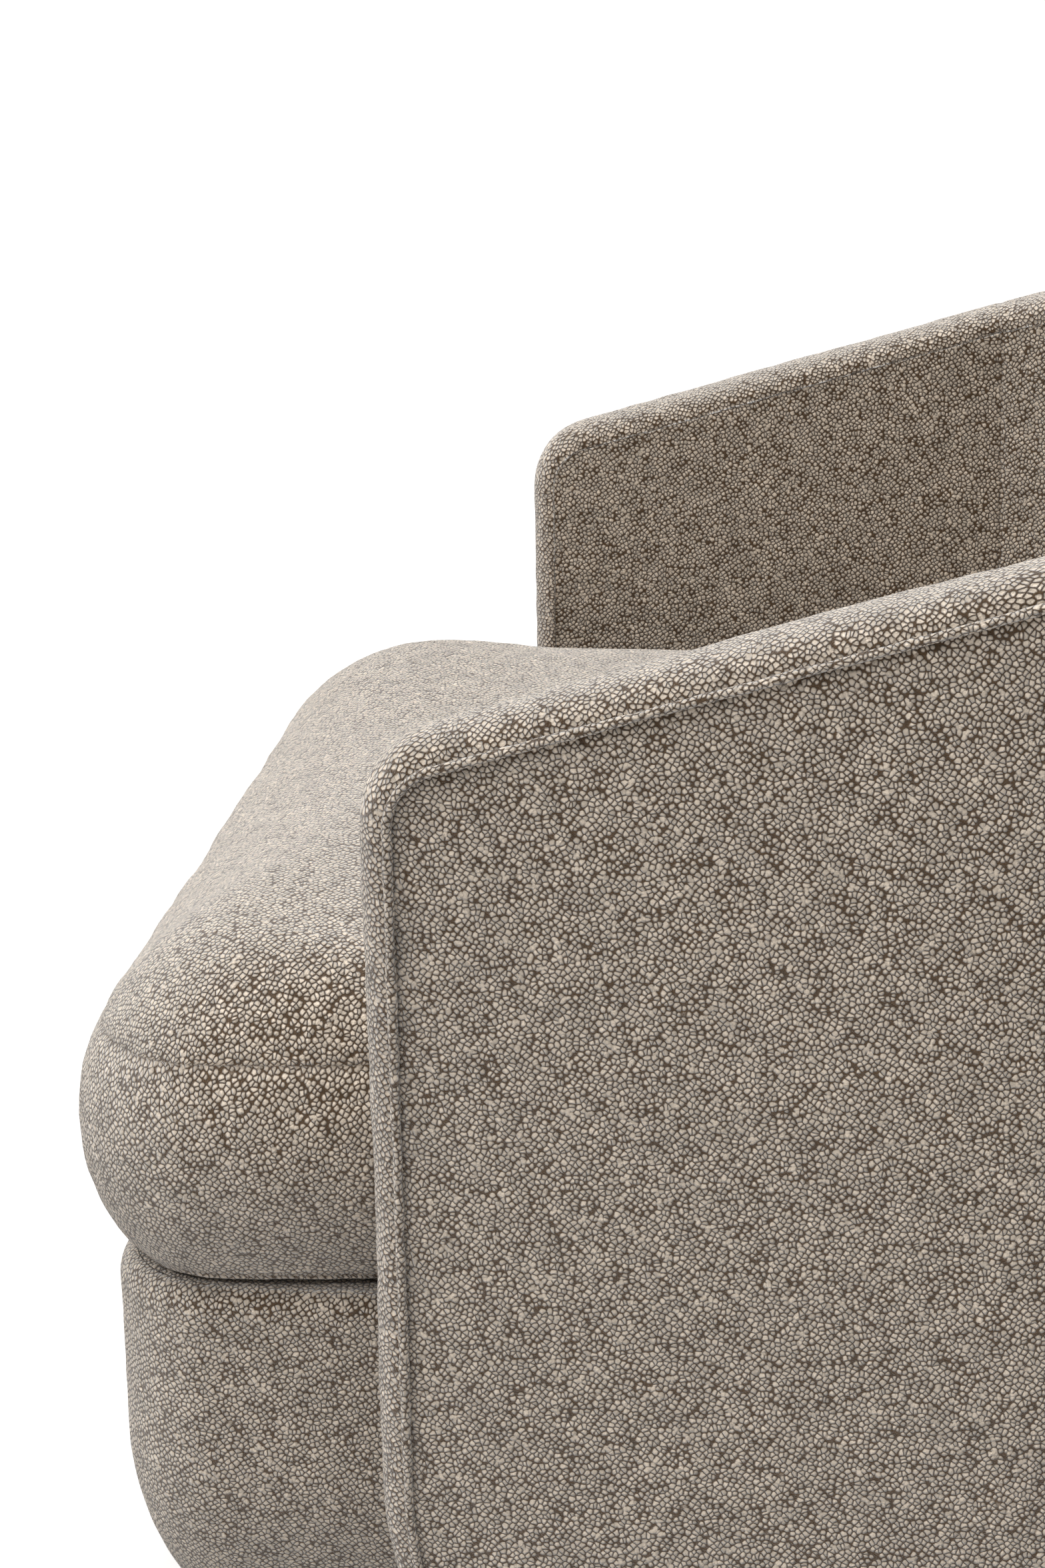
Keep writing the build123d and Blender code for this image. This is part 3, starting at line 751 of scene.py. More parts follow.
def face_rows(foot, head):
    """Heights of one column's points, closer together under the seam."""
    near = [0.0, 0.0015, 0.0032, 0.0055, 0.0085, 0.0125]
    return steps(foot, head - 0.018, 74) + [head - d for d in reversed(near)]


def face_grid(shell, part, inset, outer):
    """Points and charts of one outer or inner face between two seams."""
    stations, mark = shell.plan(inset)
    line = [station[0 if outer else 1] for station in stations]
    lengths = run_lengths(line)
    first, last = split_stations(stations, mark)[part]
    points, uvs, painted_seam_shades = [], [], []
    for k in range(first, last + 1):
        x, y = line[k]
        away = stations[k][2]
        foot, head = shell.toe(y, inset), shell.top(y, inset)
        beside = seam_distance(shell, (x, y), outer)
        for z in face_rows(foot, head):
            deep = shell.depth(y, z, inset) if outer else 1.0
            pucker = 1.0 + 2.0 * noise.noise(Vector((y * 38, z * 38, x * 38)))
            pull = seam_pull(deep, OUTER_SEAM, pucker) + seam_pull(beside, SIDE_SEAM, pucker)
            side = -pull if outer else pull
            points.append(Vector((x + away[0] * side, y + away[1] * side, z)))
            uvs.append((lengths[k], z))
            # Painted shade along the outer seam and beside the side seams.
            shade, reach = SIDE_SHADE
            painted_seam_shades.append(max(0.4 * gather(deep, 0.0018), shade * gather(beside, reach)))
    return points, uvs, painted_seam_shades, last - first + 1, (stations, first)


class ARMCHAIR_OT_outer_panels(bpy.types.Operator):
    """Cloth on the outsides of both arms and on the back, below the seam with the turned edge"""

    bl_idname = "armchair.outer_panels"
    bl_label = "Outer panels"

    def execute(self, context):
        shell = Shell(context.scene.shell_settings)
        cloth = loop_cloth("boucle_outside")
        for part in ("left", "back", "right"):
            inset = shell.s.seam_inset
            points, uvs, painted_seam_shades, columns, _ = face_grid(shell, part, inset, True)
            rows = len(points) // columns
            faces = grid_faces(columns, rows)
            panel = make_object("outer_panel_" + part, points, faces, uvs, cloth)
            set_values(panel.data, "painted_seam_shade", painted_seam_shades)
            refine(panel)
            soften(panel, size=0.19, height=0.0016, seed=3.0)
            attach(panel, CHAIR)
            hidden = ["outer_wadding"] if part == "back" else []
            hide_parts("outer_cover_" + part, *hidden)
        return {"FINISHED"}


def wrap_section(rise, count=22, fullness=2.5):
    """Shares across the top and heights over the seam line, from inner face to outer seam."""
    found = []
    for k in range(count + 1):
        angle = math.pi * k / count
        c, n = math.cos(angle), math.sin(angle)
        along = math.copysign(abs(c) ** (2 / fullness), c)
        found.append(((1 - along) / 2, rise * max(n, 0.0) ** (2 / fullness)))
    return found


def wrap_edge(shell, part, columns, rows, stations, first, inset):
    """The border of an inner face that the cloth turns over: point number, station and kind."""
    edge = []
    heads = range(columns)
    if part != "back":
        raised = shell.low + 1e-6
        feet = [c for c in heads if shell.toe(stations[first + c][1][1], inset) > raised]
        if part == "left":
            feet, front, rearward = feet[::-1], 0, 1
        else:
            heads, front, rearward = heads[::-1], columns - 1, -1
        for c in [feet[0] + rearward] + feet:
            edge.append((c * rows, stations[first + c], "foot"))
        for r in range(1, rows - 1):
            edge.append((front * rows + r, stations[first + front], "front"))
    for c in heads:
        edge.append((c * rows + rows - 1, stations[first + c], "head"))
    return edge


class ARMCHAIR_OT_inner_wrap(bpy.types.Operator):
    """Cloth on the insides of the arms and back, carried over the top and the arms' fronts"""

    bl_idname = "armchair.inner_wrap"
    bl_label = "Inner wrap"

    def execute(self, context):
        shell = Shell(context.scene.shell_settings)
        cloth = loop_cloth("boucle_inside")
        inset = shell.s.seam_inset
        for part in ("left", "back", "right"):
            points, uvs, painted_seam_shades, columns, (stations, first) = face_grid(shell, part, inset, False)
            rows = len(points) // columns
            faces = grid_faces(columns, rows, flip=True)
            edge = wrap_edge(shell, part, columns, rows, stations, first, inset)
            section = wrap_section(inset)
            chart, numbers = {}, []
            travelled, before, count = 0.0, None, len(section)
            for number, (outer, inner, _), kind in edge:
                here = points[number].copy()
                if before is not None:
                    travelled += (here - before).length
                before = here
                chart[number] = (travelled, 1.0)
                column, across, last = [number], 0.0, here
                beside = seam_distance(shell, outer, True) if kind == "head" else 1.0
                for share, rise in section[1:]:
                    x = inner[0] + (outer[0] - inner[0]) * share
                    y = inner[1] + (outer[1] - inner[1]) * share
                    if kind == "front":
                        z, normal = here.z, Vector((-1.0, 0.0))
                    elif kind == "foot":
                        z, normal = shell.toe(y, inset), shell.toe_normal(y, inset)
                    else:
                        z, normal = shell.top(y, inset), shell.top_normal(y, inset)
                    on_top = rise > 0.004
                    lift = rise - 0.0009 * gather(beside, SIDE_SEAM[1]) * on_top
                    point = Vector((x, y + normal.x * lift, z + normal.y * lift))
                    across += (point - last).length
                    last = point
                    column.append(len(points))
                    points.append(point)
                    chart[column[-1]] = (travelled, 1.0 + across)
                    uvs.append(chart[column[-1]])
                    # Painted shade at the outer seam and beside the side seams.
                    at_seam = gather((1.0 - share) * 0.05 + rise, 0.0022)
                    shade, reach = SIDE_SHADE
                    painted_seam_shades.append(max(0.6 * at_seam, shade * gather(beside, reach)))
                numbers.append(column)
            first_face = len(faces)
            for a, b in zip(numbers, numbers[1:]):
                for k in range(count - 1):
                    quad = (a[k], a[k + 1], b[k + 1], b[k])
                    faces.append(quad[::-1] if part != "right" else quad)
            wrap = make_object("inner_wrap_" + part, points, faces, uvs, cloth, (first_face, chart))
            set_values(wrap.data, "painted_seam_shade", painted_seam_shades)
            refine(wrap)
            soften(wrap, size=0.15, height=0.0018, seed=8.0)
            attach(wrap, CHAIR)
            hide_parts("inner_cover_" + part, "inner_foam_" + part, "border_foam_" + part)
        return {"FINISHED"}


def seam_line(shell, part, inset):
    """Places along the outer seam, each with its outward and its side-view direction."""
    stations, mark = shell.plan(inset)
    first, last = split_stations(stations, mark)[part]
    run = stations[first:last + 1]
    if part == "right":
        run = run[::-1]
    found = []
    start = shell.front + inset
    if part != "back":
        feet = [s for s in run if shell.toe(s[0][1], inset) > shell.low + 1e-6]
        for outer, _, away in feet[::-1]:
            z = shell.toe(outer[1], inset)
            found.append((Vector((*outer, z)), away, shell.toe_normal(outer[1], inset)))
        low, high = shell.toe(start, inset), shell.top(start, inset)
        for z in steps(low, high, 70)[1:-1]:
            found.append((Vector((*run[0][0], z)), run[0][2], Vector((-1.0, 0.0))))
    for outer, _, away in run:
        z = shell.top(outer[1], inset)
        found.append((Vector((*outer, z)), away, shell.top_normal(outer[1], inset)))
    return found


class ARMCHAIR_OT_welt(bpy.types.Operator):
    """The turned cloth edge that stands up along the outer seam"""

    bl_idname = "armchair.welt"
    bl_label = "Turned edge"

    def execute(self, context):
        shell = Shell(context.scene.shell_settings)
        cloth = loop_cloth("boucle_edge")
        radius = shell.s.welt
        around = 14
        for part in ("left", "back", "right"):
            places = seam_line(shell, part, shell.s.seam_inset)
            points, uvs, painted_seam_shades = [], [], []
            length, before = 0.0, None
            for place, away, normal in places:
                length += 0.0 if before is None else (place - before).length
                before = place
                out = Vector((away[0], away[1], 0.0))
                on_arm = abs(away[0]) > 0.99
                side = Vector((0.0, normal.x, normal.y) if on_arm else (0.0, 0.0, 1.0))
                drift = noise.noise(Vector((length * 60, 1.0, 3.0))) * 0.0006
                swell = 1.0 + 0.16 * noise.noise(Vector((length * 140, 5.0, 2.0)))
                for k in range(around + 1):
                    angle = 2 * math.pi * k / around
                    high = math.sin(angle) * radius * 1.05 * swell + 0.0004
                    wide = math.cos(angle) * radius * 0.92 * swell + drift
                    points.append(place + out * high + side * wide)
                    uvs.append((length, angle * radius))
                    # Painted shade on the side of the turned edge that lies against the panel.
                    painted_seam_shades.append(0.55 if math.sin(angle) < -0.10 else 0.0)
            columns = len(places)
            faces = grid_faces(columns, around + 1, flip=(part == "right"))
            welt = make_object("turned_edge_" + part, points, faces, uvs, cloth)
            set_values(welt.data, "painted_seam_shade", painted_seam_shades)
            close_ends(welt)
            refine(welt)
            soften(welt, size=0.012, height=0.0005, seed=2.0)
            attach(welt, CHAIR)
        return {"FINISHED"}


def close_ends(obj):
    """Joins a tube's long edge, fills its ends and turns its faces outwards."""
    work = bmesh.new()
    work.from_mesh(obj.data)
    bmesh.ops.remove_doubles(work, verts=work.verts, dist=1e-6)
    bmesh.ops.holes_fill(work, edges=[e for e in work.edges if e.is_boundary], sides=0)
    bmesh.ops.recalc_face_normals(work, faces=work.faces)
    for face in work.faces:
        face.smooth = True
    work.to_mesh(obj.data)
    work.free()
    obj.data.update()


# ---------------------------------------------------------------- base

def rounded_front(half, front, rear, radius, spacing=0.010):
    """Points and outward directions round a U, from its rear on +X by the front to -X."""
    centre = front + radius
    count = max(4, int((rear - centre) / spacing))
    one = [((half, y), (1.0, 0.0)) for y in steps(rear, centre, count)[:-1]]
    for angle in steps(0.0, math.pi / 2, 16):
        c, n = math.cos(angle), math.sin(angle)
        one.append(((half - radius + radius * c, centre - radius * n), (c, -n)))
    across = int(2 * (half - radius) / spacing)
    middle = [((x, front), (0.0, -1.0)) for x in steps(half - radius, radius - half, across)[1:-1]]
    return one + middle + [((-p[0], p[1]), (-n[0], n[1])) for p, n in reversed(one)]


def level_sheet(name, places, height, material, across=40):
    """A level sheet from pairs of a station and its half width."""
    points, uvs, faces = [], [], []
    for y, half in places:
        for x in steps(-half, half, across):
            points.append(Vector((x, y, height(x, y))))
            uvs.append((x, y))
    faces = grid_faces(len(places), across, flip=True)
    return make_object(name, points, faces, uvs, material)


class ARMCHAIR_OT_base_cover(bpy.types.Operator):
    """Cloth over the padded nose, the plain deck cloth behind it and the cloth underneath"""

    bl_idname = "armchair.base_cover"
    bl_label = "Base cover"

    def execute(self, context):
        seat = context.scene.seat_settings
        shell = Shell(context.scene.shell_settings)
        low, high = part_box("nose_cover")
        cloth = loop_cloth("boucle_base")
        outline = rounded_front(seat.nose_half, low.y, high.y, seat.nose_corner)
        # A strip at each end closes the gap between the nose and the arm.
        gap, tuck = 0.0004, 0.002
        closing = shell.half - shell.s.thickness - gap
        outline.insert(0, ((closing, high.y - tuck), (0.0, 0.0)))
        outline.append(((-closing, high.y - tuck), (0.0, 0.0)))
        lengths = run_lengths([p for p, _ in outline])
        section = [(0.052, low.z + 0.0006), (0.044, low.z - 0.0002)]
        bowl = seat.bowl_radius
        for z in steps(low.z + 0.0008, seat.bowl_start, 20):
            section.append((bowl - math.sqrt(bowl ** 2 - (seat.bowl_start - z) ** 2), z))
        top = high.z
        shoulder = top - 0.016
        edge = 0.010  # how far the nose's top is drawn in by its rounded edge
        section += [(0.0, z) for z in steps(seat.bowl_start, shoulder, 12)[1:]]
        for angle in steps(0.0, math.pi / 2, 12)[1:]:
            height = shoulder + (top - shoulder) * math.sin(angle)
            section.append((edge * (1 - math.cos(angle)), height))
        points, uvs = [], []
        rows = len(section)
        for (place, away), length in zip(outline, lengths):
            run, last = 0.0, None
            for inset, z in section:
                point = Vector((place[0] - away[0] * inset, place[1] - away[1] * inset, z))
                run += 0.0 if last is None else (point - last).length
                last = point
                points.append(point)
                uvs.append((length, run))
        faces = grid_faces(len(outline), rows, flip=True)
        start = len(points)
        across = 60
        centre = low.y + edge
        radius = seat.nose_corner - edge
        half = seat.nose_half - edge
        stations = [centre + radius * (1 - math.cos(a)) for a in steps(0.0, math.pi / 2, 8)]
        stations += steps(stations[-1], high.y, 14)[1:]
        for y in stations:
            back = max(radius - (y - centre), 0.0)
            wide = half - radius + math.sqrt(max(radius ** 2 - back ** 2, 0.0))
            for x in steps(-wide, wide, across):
                points.append(Vector((x, y, top)))
                uvs.append((x, y))
        faces += grid_faces(len(stations), across, start, flip=True)
        nose = make_object("nose_cloth", points, faces, uvs, cloth)
        set_values(nose.data, "painted_seam_shade", [0.0] * len(points))
        refine(nose)
        soften(nose, size=0.13, height=0.0012, seed=12.0)
        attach(nose, CHAIR)
        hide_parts("nose_cover", "nose_foam", "deck_foam")

        lining = plain_cloth("deck_lining", (0.30, 0.27, 0.235), 0.0011)
        low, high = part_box("deck_cloth")
        places = []
        for y in steps(low.y, shell.inner_corner_y, 26):
            places.append((y, high.x))
        for angle in steps(0.0, math.radians(82), 20)[1:]:
            reach = shell.s.inner_corner
            y = shell.inner_corner_y + reach * math.sin(angle)
            places.append((min(y, high.y), high.x - reach + reach * math.cos(angle)))
        level = high.z

        def lie(x, y):
            """Height of the deck cloth, which isn't quite flat."""
            return level + wave(Vector((x, y, 0)), 0.12, 0.0012, 4.0)

        deck = level_sheet("deck_sheet", places, lie, lining)
        wide, long = 2 * high.x, high.y - low.y
        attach(deck, CHAIR)
        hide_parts("deck_cloth")

        black = plain_cloth("dust_lining", (0.018, 0.018, 0.019), 0.0014)
        low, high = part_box("dust_cloth")
        front, rear = [], []
        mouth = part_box("outer_cover_left")[0].y + 0.073
        half, corner, corner_end = 0.288, 0.040, 0.065
        for y in steps(low.y + 0.006, mouth, 14):
            inset = min(max(corner_end - (y - low.y), 0.0), corner)
            front.append((y, half - corner + math.sqrt(max(corner ** 2 - inset ** 2, 0.0))))
        edge = high.x - 0.002
        for y in steps(mouth, shell.corner_y, 14):
            rear.append((y, edge))
        for angle in steps(0.0, math.radians(84), 20)[1:]:
            reach = shell.s.outer_corner - (shell.half - edge)
            y = shell.corner_y + reach * math.sin(angle)
            rear.append((y, edge - reach * (1 - math.cos(angle))))

        def hang(x, y):
            """Height of the cloth underneath, which hangs a little unevenly."""
            return low.z + 0.0002 + 0.0007 * noise.noise(Vector((x * 9, y * 9, 2.0)))

        for name, places in (("dust_sheet_front", front), ("dust_sheet_rear", rear)):
            dust = level_sheet(name, places, hang, black)
            for polygon in dust.data.polygons:
                polygon.flip()
            dust.data.update()
            wide = 2 * max(half for _, half in places)
            long = places[-1][0] - places[0][0]
            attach(dust, CHAIR)
            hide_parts("dust_cloth")
        return {"FINISHED"}


# ---------------------------------------------------------------- cushion

def cushion_outline(seat, box, count):
    """Points and outward directions round the cushion's widest line, equally many on each side."""
    low, high = box
    half, front, rear = high.x, low.y, high.y
    path = []

    def arc(cx, cy, radius, first, last):
        for angle in steps(first, last, 60):
            path.append((cx + radius * math.cos(angle), cy + radius * math.sin(angle)))

    quarter = math.pi / 2
    f, r = seat.front_corner, seat.rear_corner
    arc(-half + f, front + f, f, math.pi * 1.25, 1.5 * math.pi)
    marks = [0]
    arc(half - f, front + f, f, 1.5 * math.pi, 1.75 * math.pi)
    marks.append(len(path) - 1)
    arc(half - f, front + f, f, 1.75 * math.pi, 2 * math.pi)
    arc(half - r, rear - r, r, 0.0, quarter / 2)
    marks.append(len(path) - 1)
    arc(half - r, rear - r, r, quarter / 2, quarter)
    arc(-half + r, rear - r, r, quarter, 1.5 * quarter)
    marks.append(len(path) - 1)
    arc(-half + r, rear - r, r, 1.5 * quarter, 2 * quarter)
    arc(-half + f, front + f, f, 2 * quarter, 1.25 * math.pi)
    marks.append(len(path) - 1)
    found = []
    for first, last in zip(marks, marks[1:]):
        part = path[first:last + 1]
        lengths = run_lengths(part)
        for k in range(count):
            at = k / count * lengths[-1]
            j = max(i for i, value in enumerate(lengths) if value <= at + 1e-12)
            j = min(j, len(part) - 2)
            span = lengths[j + 1] - lengths[j] or 1.0
            t = (at - lengths[j]) / span
            a, b = Vector(part[j]), Vector(part[j + 1])
            place = a.lerp(b, t)
            found.append(place)
    number = len(found)
    result = []
    for k, place in enumerate(found):
        along = (found[(k + 1) % number] - found[k - 1]).normalized()
        away = Vector((along.y, -along.x))
        # In front of the arms the cushion spreads a little.
        ahead = -0.19 - place.y
        spread = seat.overhang * min(ahead / 0.07, 1.0) if ahead > 0.0 else 0.0
        result.append((place + Vector((math.copysign(spread, place.x) * abs(away.x), 0.0)), away))
    return result


def side_inset(seat, z, foot):
    """How far the boxing is drawn in at a height."""
    top, wide = seat.seam_height, seat.widest_height
    if z > wide:
        return seat.seam_draw * ((z - wide) / (top - wide)) ** 2
    return seat.foot_draw * ((wide - z) / (wide - foot)) ** 2.2


class ARMCHAIR_OT_cushion(bpy.types.Operator):
    """The loose seat cushion: crowned top, boxing all round and a level underside"""

    bl_idname = "armchair.cushion"
    bl_label = "Seat cushion"

    def execute(self, context):
        seat = context.scene.seat_settings
        count = 72
        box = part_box("cushion_boxing")
        outline = cushion_outline(seat, box, count)
        middle = Vector((0.0, (box[0].y + box[1].y) / 2))
        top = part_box("cushion_top_panel")[1].z
        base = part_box("cushion_bottom_panel")[0].z
        foot = base + 0.0065
        foot_round = 0.016  # level width of the rounded edge of the underside
        points, uvs = [], []

        def ring(i, j):
            """Place round the outline for a border point of the square grid."""
            if j == 0:
                return i
            if i == count:
                return count + j
            if j == count:
                return 2 * count + (count - i)
            return (3 * count + (count - j)) % (4 * count)

        def panel(level, draw, upwards):
            grid = {}
            for i in range(count + 1):
                for j in range(count + 1):
                    a, b = 2 * i / count - 1, 2 * j / count - 1
                    reach = max(abs(a), abs(b))
                    if reach < 1e-9:
                        place, away = Vector((0.0, 0.0)), Vector((0.0, 1.0))
                    else:
                        u, v = a / reach, b / reach
                        if abs(b) >= abs(a):
                            p, q = (u + 1) / 2 * count, 0 if b < 0 else count
                        else:
                            p, q = (0 if a < 0 else count), (v + 1) / 2 * count
                        place, away = blend_ring(p, q)
                    close = 1.0 - (1.0 - reach) ** 1.75
                    edge = place - away * draw
                    at = middle + (edge - middle) * close
                    inward = (edge - middle).length * (1.0 - close)
                    grid[i, j] = len(points)
                    if upwards:
                        facing = -(edge - middle).normalized().y if reach > 1e-9 else 0.0
                        ahead = min(max((facing - 0.52) / 0.40, 0.0), 1.0)
                        ahead *= ahead * (3.0 - 2.0 * ahead)
                        deeper = seat.shoulder - seat.side_shoulder
                        level_width = seat.side_shoulder + deeper * ahead
                        t = min(inward / level_width, 1.0)
                        body = top - 0.002 - level
                        rise = level + body * shoulder_rise(t)
                        rise += seat.crown * (1.0 - close ** 2) ** 1.5
                        spread = extra_cloth(round(t, 3), round(level_width, 3), round(body, 4))
                    else:
                        t = min(inward / foot_round, 1.0)
                        rise = level - (level - base) * math.sqrt(max(1.0 - (1.0 - t) ** 2, 0.0))
                        spread = 0.0
                    points.append(Vector((at.x, at.y, rise)))
                    chart_y = 0.0 if upwards else 2.0
                    uvs.append((at.x + away.x * spread, at.y + away.y * spread + chart_y))
            return grid

        def blend_ring(p, q):
            """Outline place between two border points of the square grid."""
            along_x = q in (0, count)
            value = p if along_x else q
            low_index = min(int(value), count - 1)
            share = value - low_index
            first = ring(low_index, q) if along_x else ring(p, low_index)
            second = ring(low_index + 1, q) if along_x else ring(p, low_index + 1)
            a, b = outline[first % (4 * count)], outline[second % (4 * count)]
            return a[0].lerp(b[0], share), (a[1].lerp(b[1], share)).normalized()

        seam, draw = seat.seam_height, seat.seam_draw
        upper = panel(seam, draw, True)
        lower = panel(foot, seat.foot_draw, False)
        faces = []
        for i in range(count):
            for j in range(count):
                quad = lambda g: (g[i, j], g[i + 1, j], g[i + 1, j + 1], g[i, j + 1])
                faces.append(quad(upper))
                faces.append(quad(lower)[::-1])
        border = [None] * (4 * count)
        below = [None] * (4 * count)
        for i in range(count + 1):
            for j in range(count + 1):
                if i in (0, count) or j in (0, count):
                    border[ring(i, j) % (4 * count)] = upper[i, j]
                    below[ring(i, j) % (4 * count)] = lower[i, j]
        rows = 18
        heights = []
        for k in range(1, rows):
            heights.append(foot + (seam - foot) * (1 - math.cos(math.pi * k / rows)) / 2)
        levels = [below]
        for z in heights:
            row = []
            for place, away in outline:
                inset = side_inset(seat, z, foot)
                row.append(len(points))
                points.append(Vector((place.x - away.x * inset, place.y - away.y * inset, z)))
                uvs.append((0.0, 0.0))
            levels.append(row)
        levels.append(border)
        first_face = len(faces)
        lengths = run_lengths([p for p, _ in outline] + [outline[0][0]])
        chart = {}
        for row in levels:
            for k, number in enumerate(row):
                chart[number] = (lengths[k], 4.0 + points[number].z)
        for lower_row, upper_row in zip(levels, levels[1:]):
            for k in range(4 * count):
                n = (k + 1) % (4 * count)
                faces.append((lower_row[k], lower_row[n], upper_row[n], upper_row[k]))
        cloth = loop_cloth("boucle_cushion")
        cushion = make_object("cushion_cover", points, faces, uvs, cloth, (first_face, chart))
        close_chart(cushion, first_face, lengths[-1])
        held = sorted(set(border + below))
        fill_out(cushion, held, base)
        sew_seams(cushion, held)
        refine(cushion)
        soften(cushion, size=0.11, height=0.0016, seed=21.0)
        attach(cushion, CUSHION)
        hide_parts("cushion_top_panel", "cushion_boxing", "cushion_bottom_panel")
        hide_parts("cushion_wrap", "cushion_foam")
        return {"FINISHED"}


def shoulder_rise(t):
    """Share of its height that the top's rounded edge has reached."""
    return (1.0 - max(1.0 - t, 0.0) ** 2) ** 0.84


@functools.cache
def extra_cloth(t, width, height):
    """How much longer the cloth over the rounded edge is than its level width."""
    total, before, parts = 0.0, shoulder_rise(t), 24
    for k in range(1, parts + 1):
        now = shoulder_rise(t + (1.0 - t) * k / parts)
        level = (1.0 - t) * width / parts
        total += math.hypot(level, (now - before) * height) - level
        before = now
    return total


def close_chart(obj, first, whole):
    """Carries the chart over the place where the boxing's ends meet."""
    layer = obj.data.uv_layers["cloth"]
    for polygon in obj.data.polygons:
        if polygon.index < first:
            continue
        pairs = [layer.data[k].uv.x for k in polygon.loop_indices]
        if max(pairs) - min(pairs) > whole / 2:
            for k in polygon.loop_indices:
                if layer.data[k].uv.x < whole / 2:
                    layer.data[k].uv.x += whole


FILL_FRAMES = 20
FILL_SHARE = 0.6  # share of the simulated move that is kept
FILL_CAP = 0.004  # furthest that a point may move


def fill_out(obj, held, base):
    """Fills a cushion with pressure, its seams held, and lets no point move far."""
    scene = bpy.context.scene
    rest = [v.co.copy() for v in obj.data.vertices]
    group = obj.vertex_groups.new(name="seams")
    flat = [v.index for v in obj.data.vertices if v.co.z < base + 0.004]
    group.add(sorted({*held, *flat}), 1.0, "REPLACE")
    modifier = obj.modifiers.new("filling", "CLOTH")
    cloth = modifier.settings
    cloth.quality = 6
    cloth.mass = 0.4
    cloth.tension_stiffness = cloth.compression_stiffness = 18.0
    cloth.shear_stiffness = 8.0
    cloth.bending_stiffness = 1.2
    cloth.vertex_group_mass = "seams"
    cloth.pin_stiffness = 1.0
    cloth.use_pressure = True
    cloth.uniform_pressure_force = 4.0
    cloth.effector_weights.gravity = 0.0
    modifier.point_cache.frame_start = 1
    modifier.point_cache.frame_end = FILL_FRAMES
    for frame_number in range(1, FILL_FRAMES + 1):
        scene.frame_set(frame_number)
    graph = bpy.context.evaluated_depsgraph_get()
    moved = obj.evaluated_get(graph).data
    ends = [v.co.copy() for v in moved.vertices]
    obj.modifiers.clear()
    obj.vertex_groups.clear()
    scene.frame_set(1)
    for vertex, start, end in zip(obj.data.vertices, rest, ends):
        shift = (end - start) * FILL_SHARE
        if shift.length > FILL_CAP:
            shift = shift.normalized() * FILL_CAP
        vertex.co = start + shift
    obj.data.update()


def sew_seams(obj, seams):
    """Draws the cushion's two seams in, with short puckers beside them."""
    tree = kdtree.KDTree(len(seams))
    for k in seams:
        tree.insert(obj.data.vertices[k].co, k)
    tree.balance()
    painted_seam_shades = []
    normals = [v.normal.copy() for v in obj.data.vertices]
    for vertex, normal in zip(obj.data.vertices, normals):
        nearest, _, _ = tree.find(vertex.co)
        away = (vertex.co - nearest).length
        pucker = 1.0 + 2.0 * noise.noise(vertex.co * 42)
        pull = seam_pull(away, CUSHION_SEAM, pucker)
        outwards = Vector((normal.x, normal.y, 0.0))
        outwards = outwards.normalized() if outwards.length > 1e-6 else normal
        flat = gather(away, 0.012)
        vertex.co -= (outwards * flat + normal * (1.0 - flat)) * pull
        # Painted shade along the cushion's seams.
        painted_seam_shades.append(0.5 * gather(away, 0.0014))
    set_values(obj.data, "painted_seam_shade", painted_seam_shades)
    obj.data.update()


# ---------------------------------------------------------------- zip

TOOTH_SIZES = {
    "Spacing": 0.0024, "Tooth length": 0.0044, "Tooth width": 0.0013, "Tooth height": 0.0016,
}
TOOTH_STAGGER = 0.0016  # how far apart the two rows of teeth stand


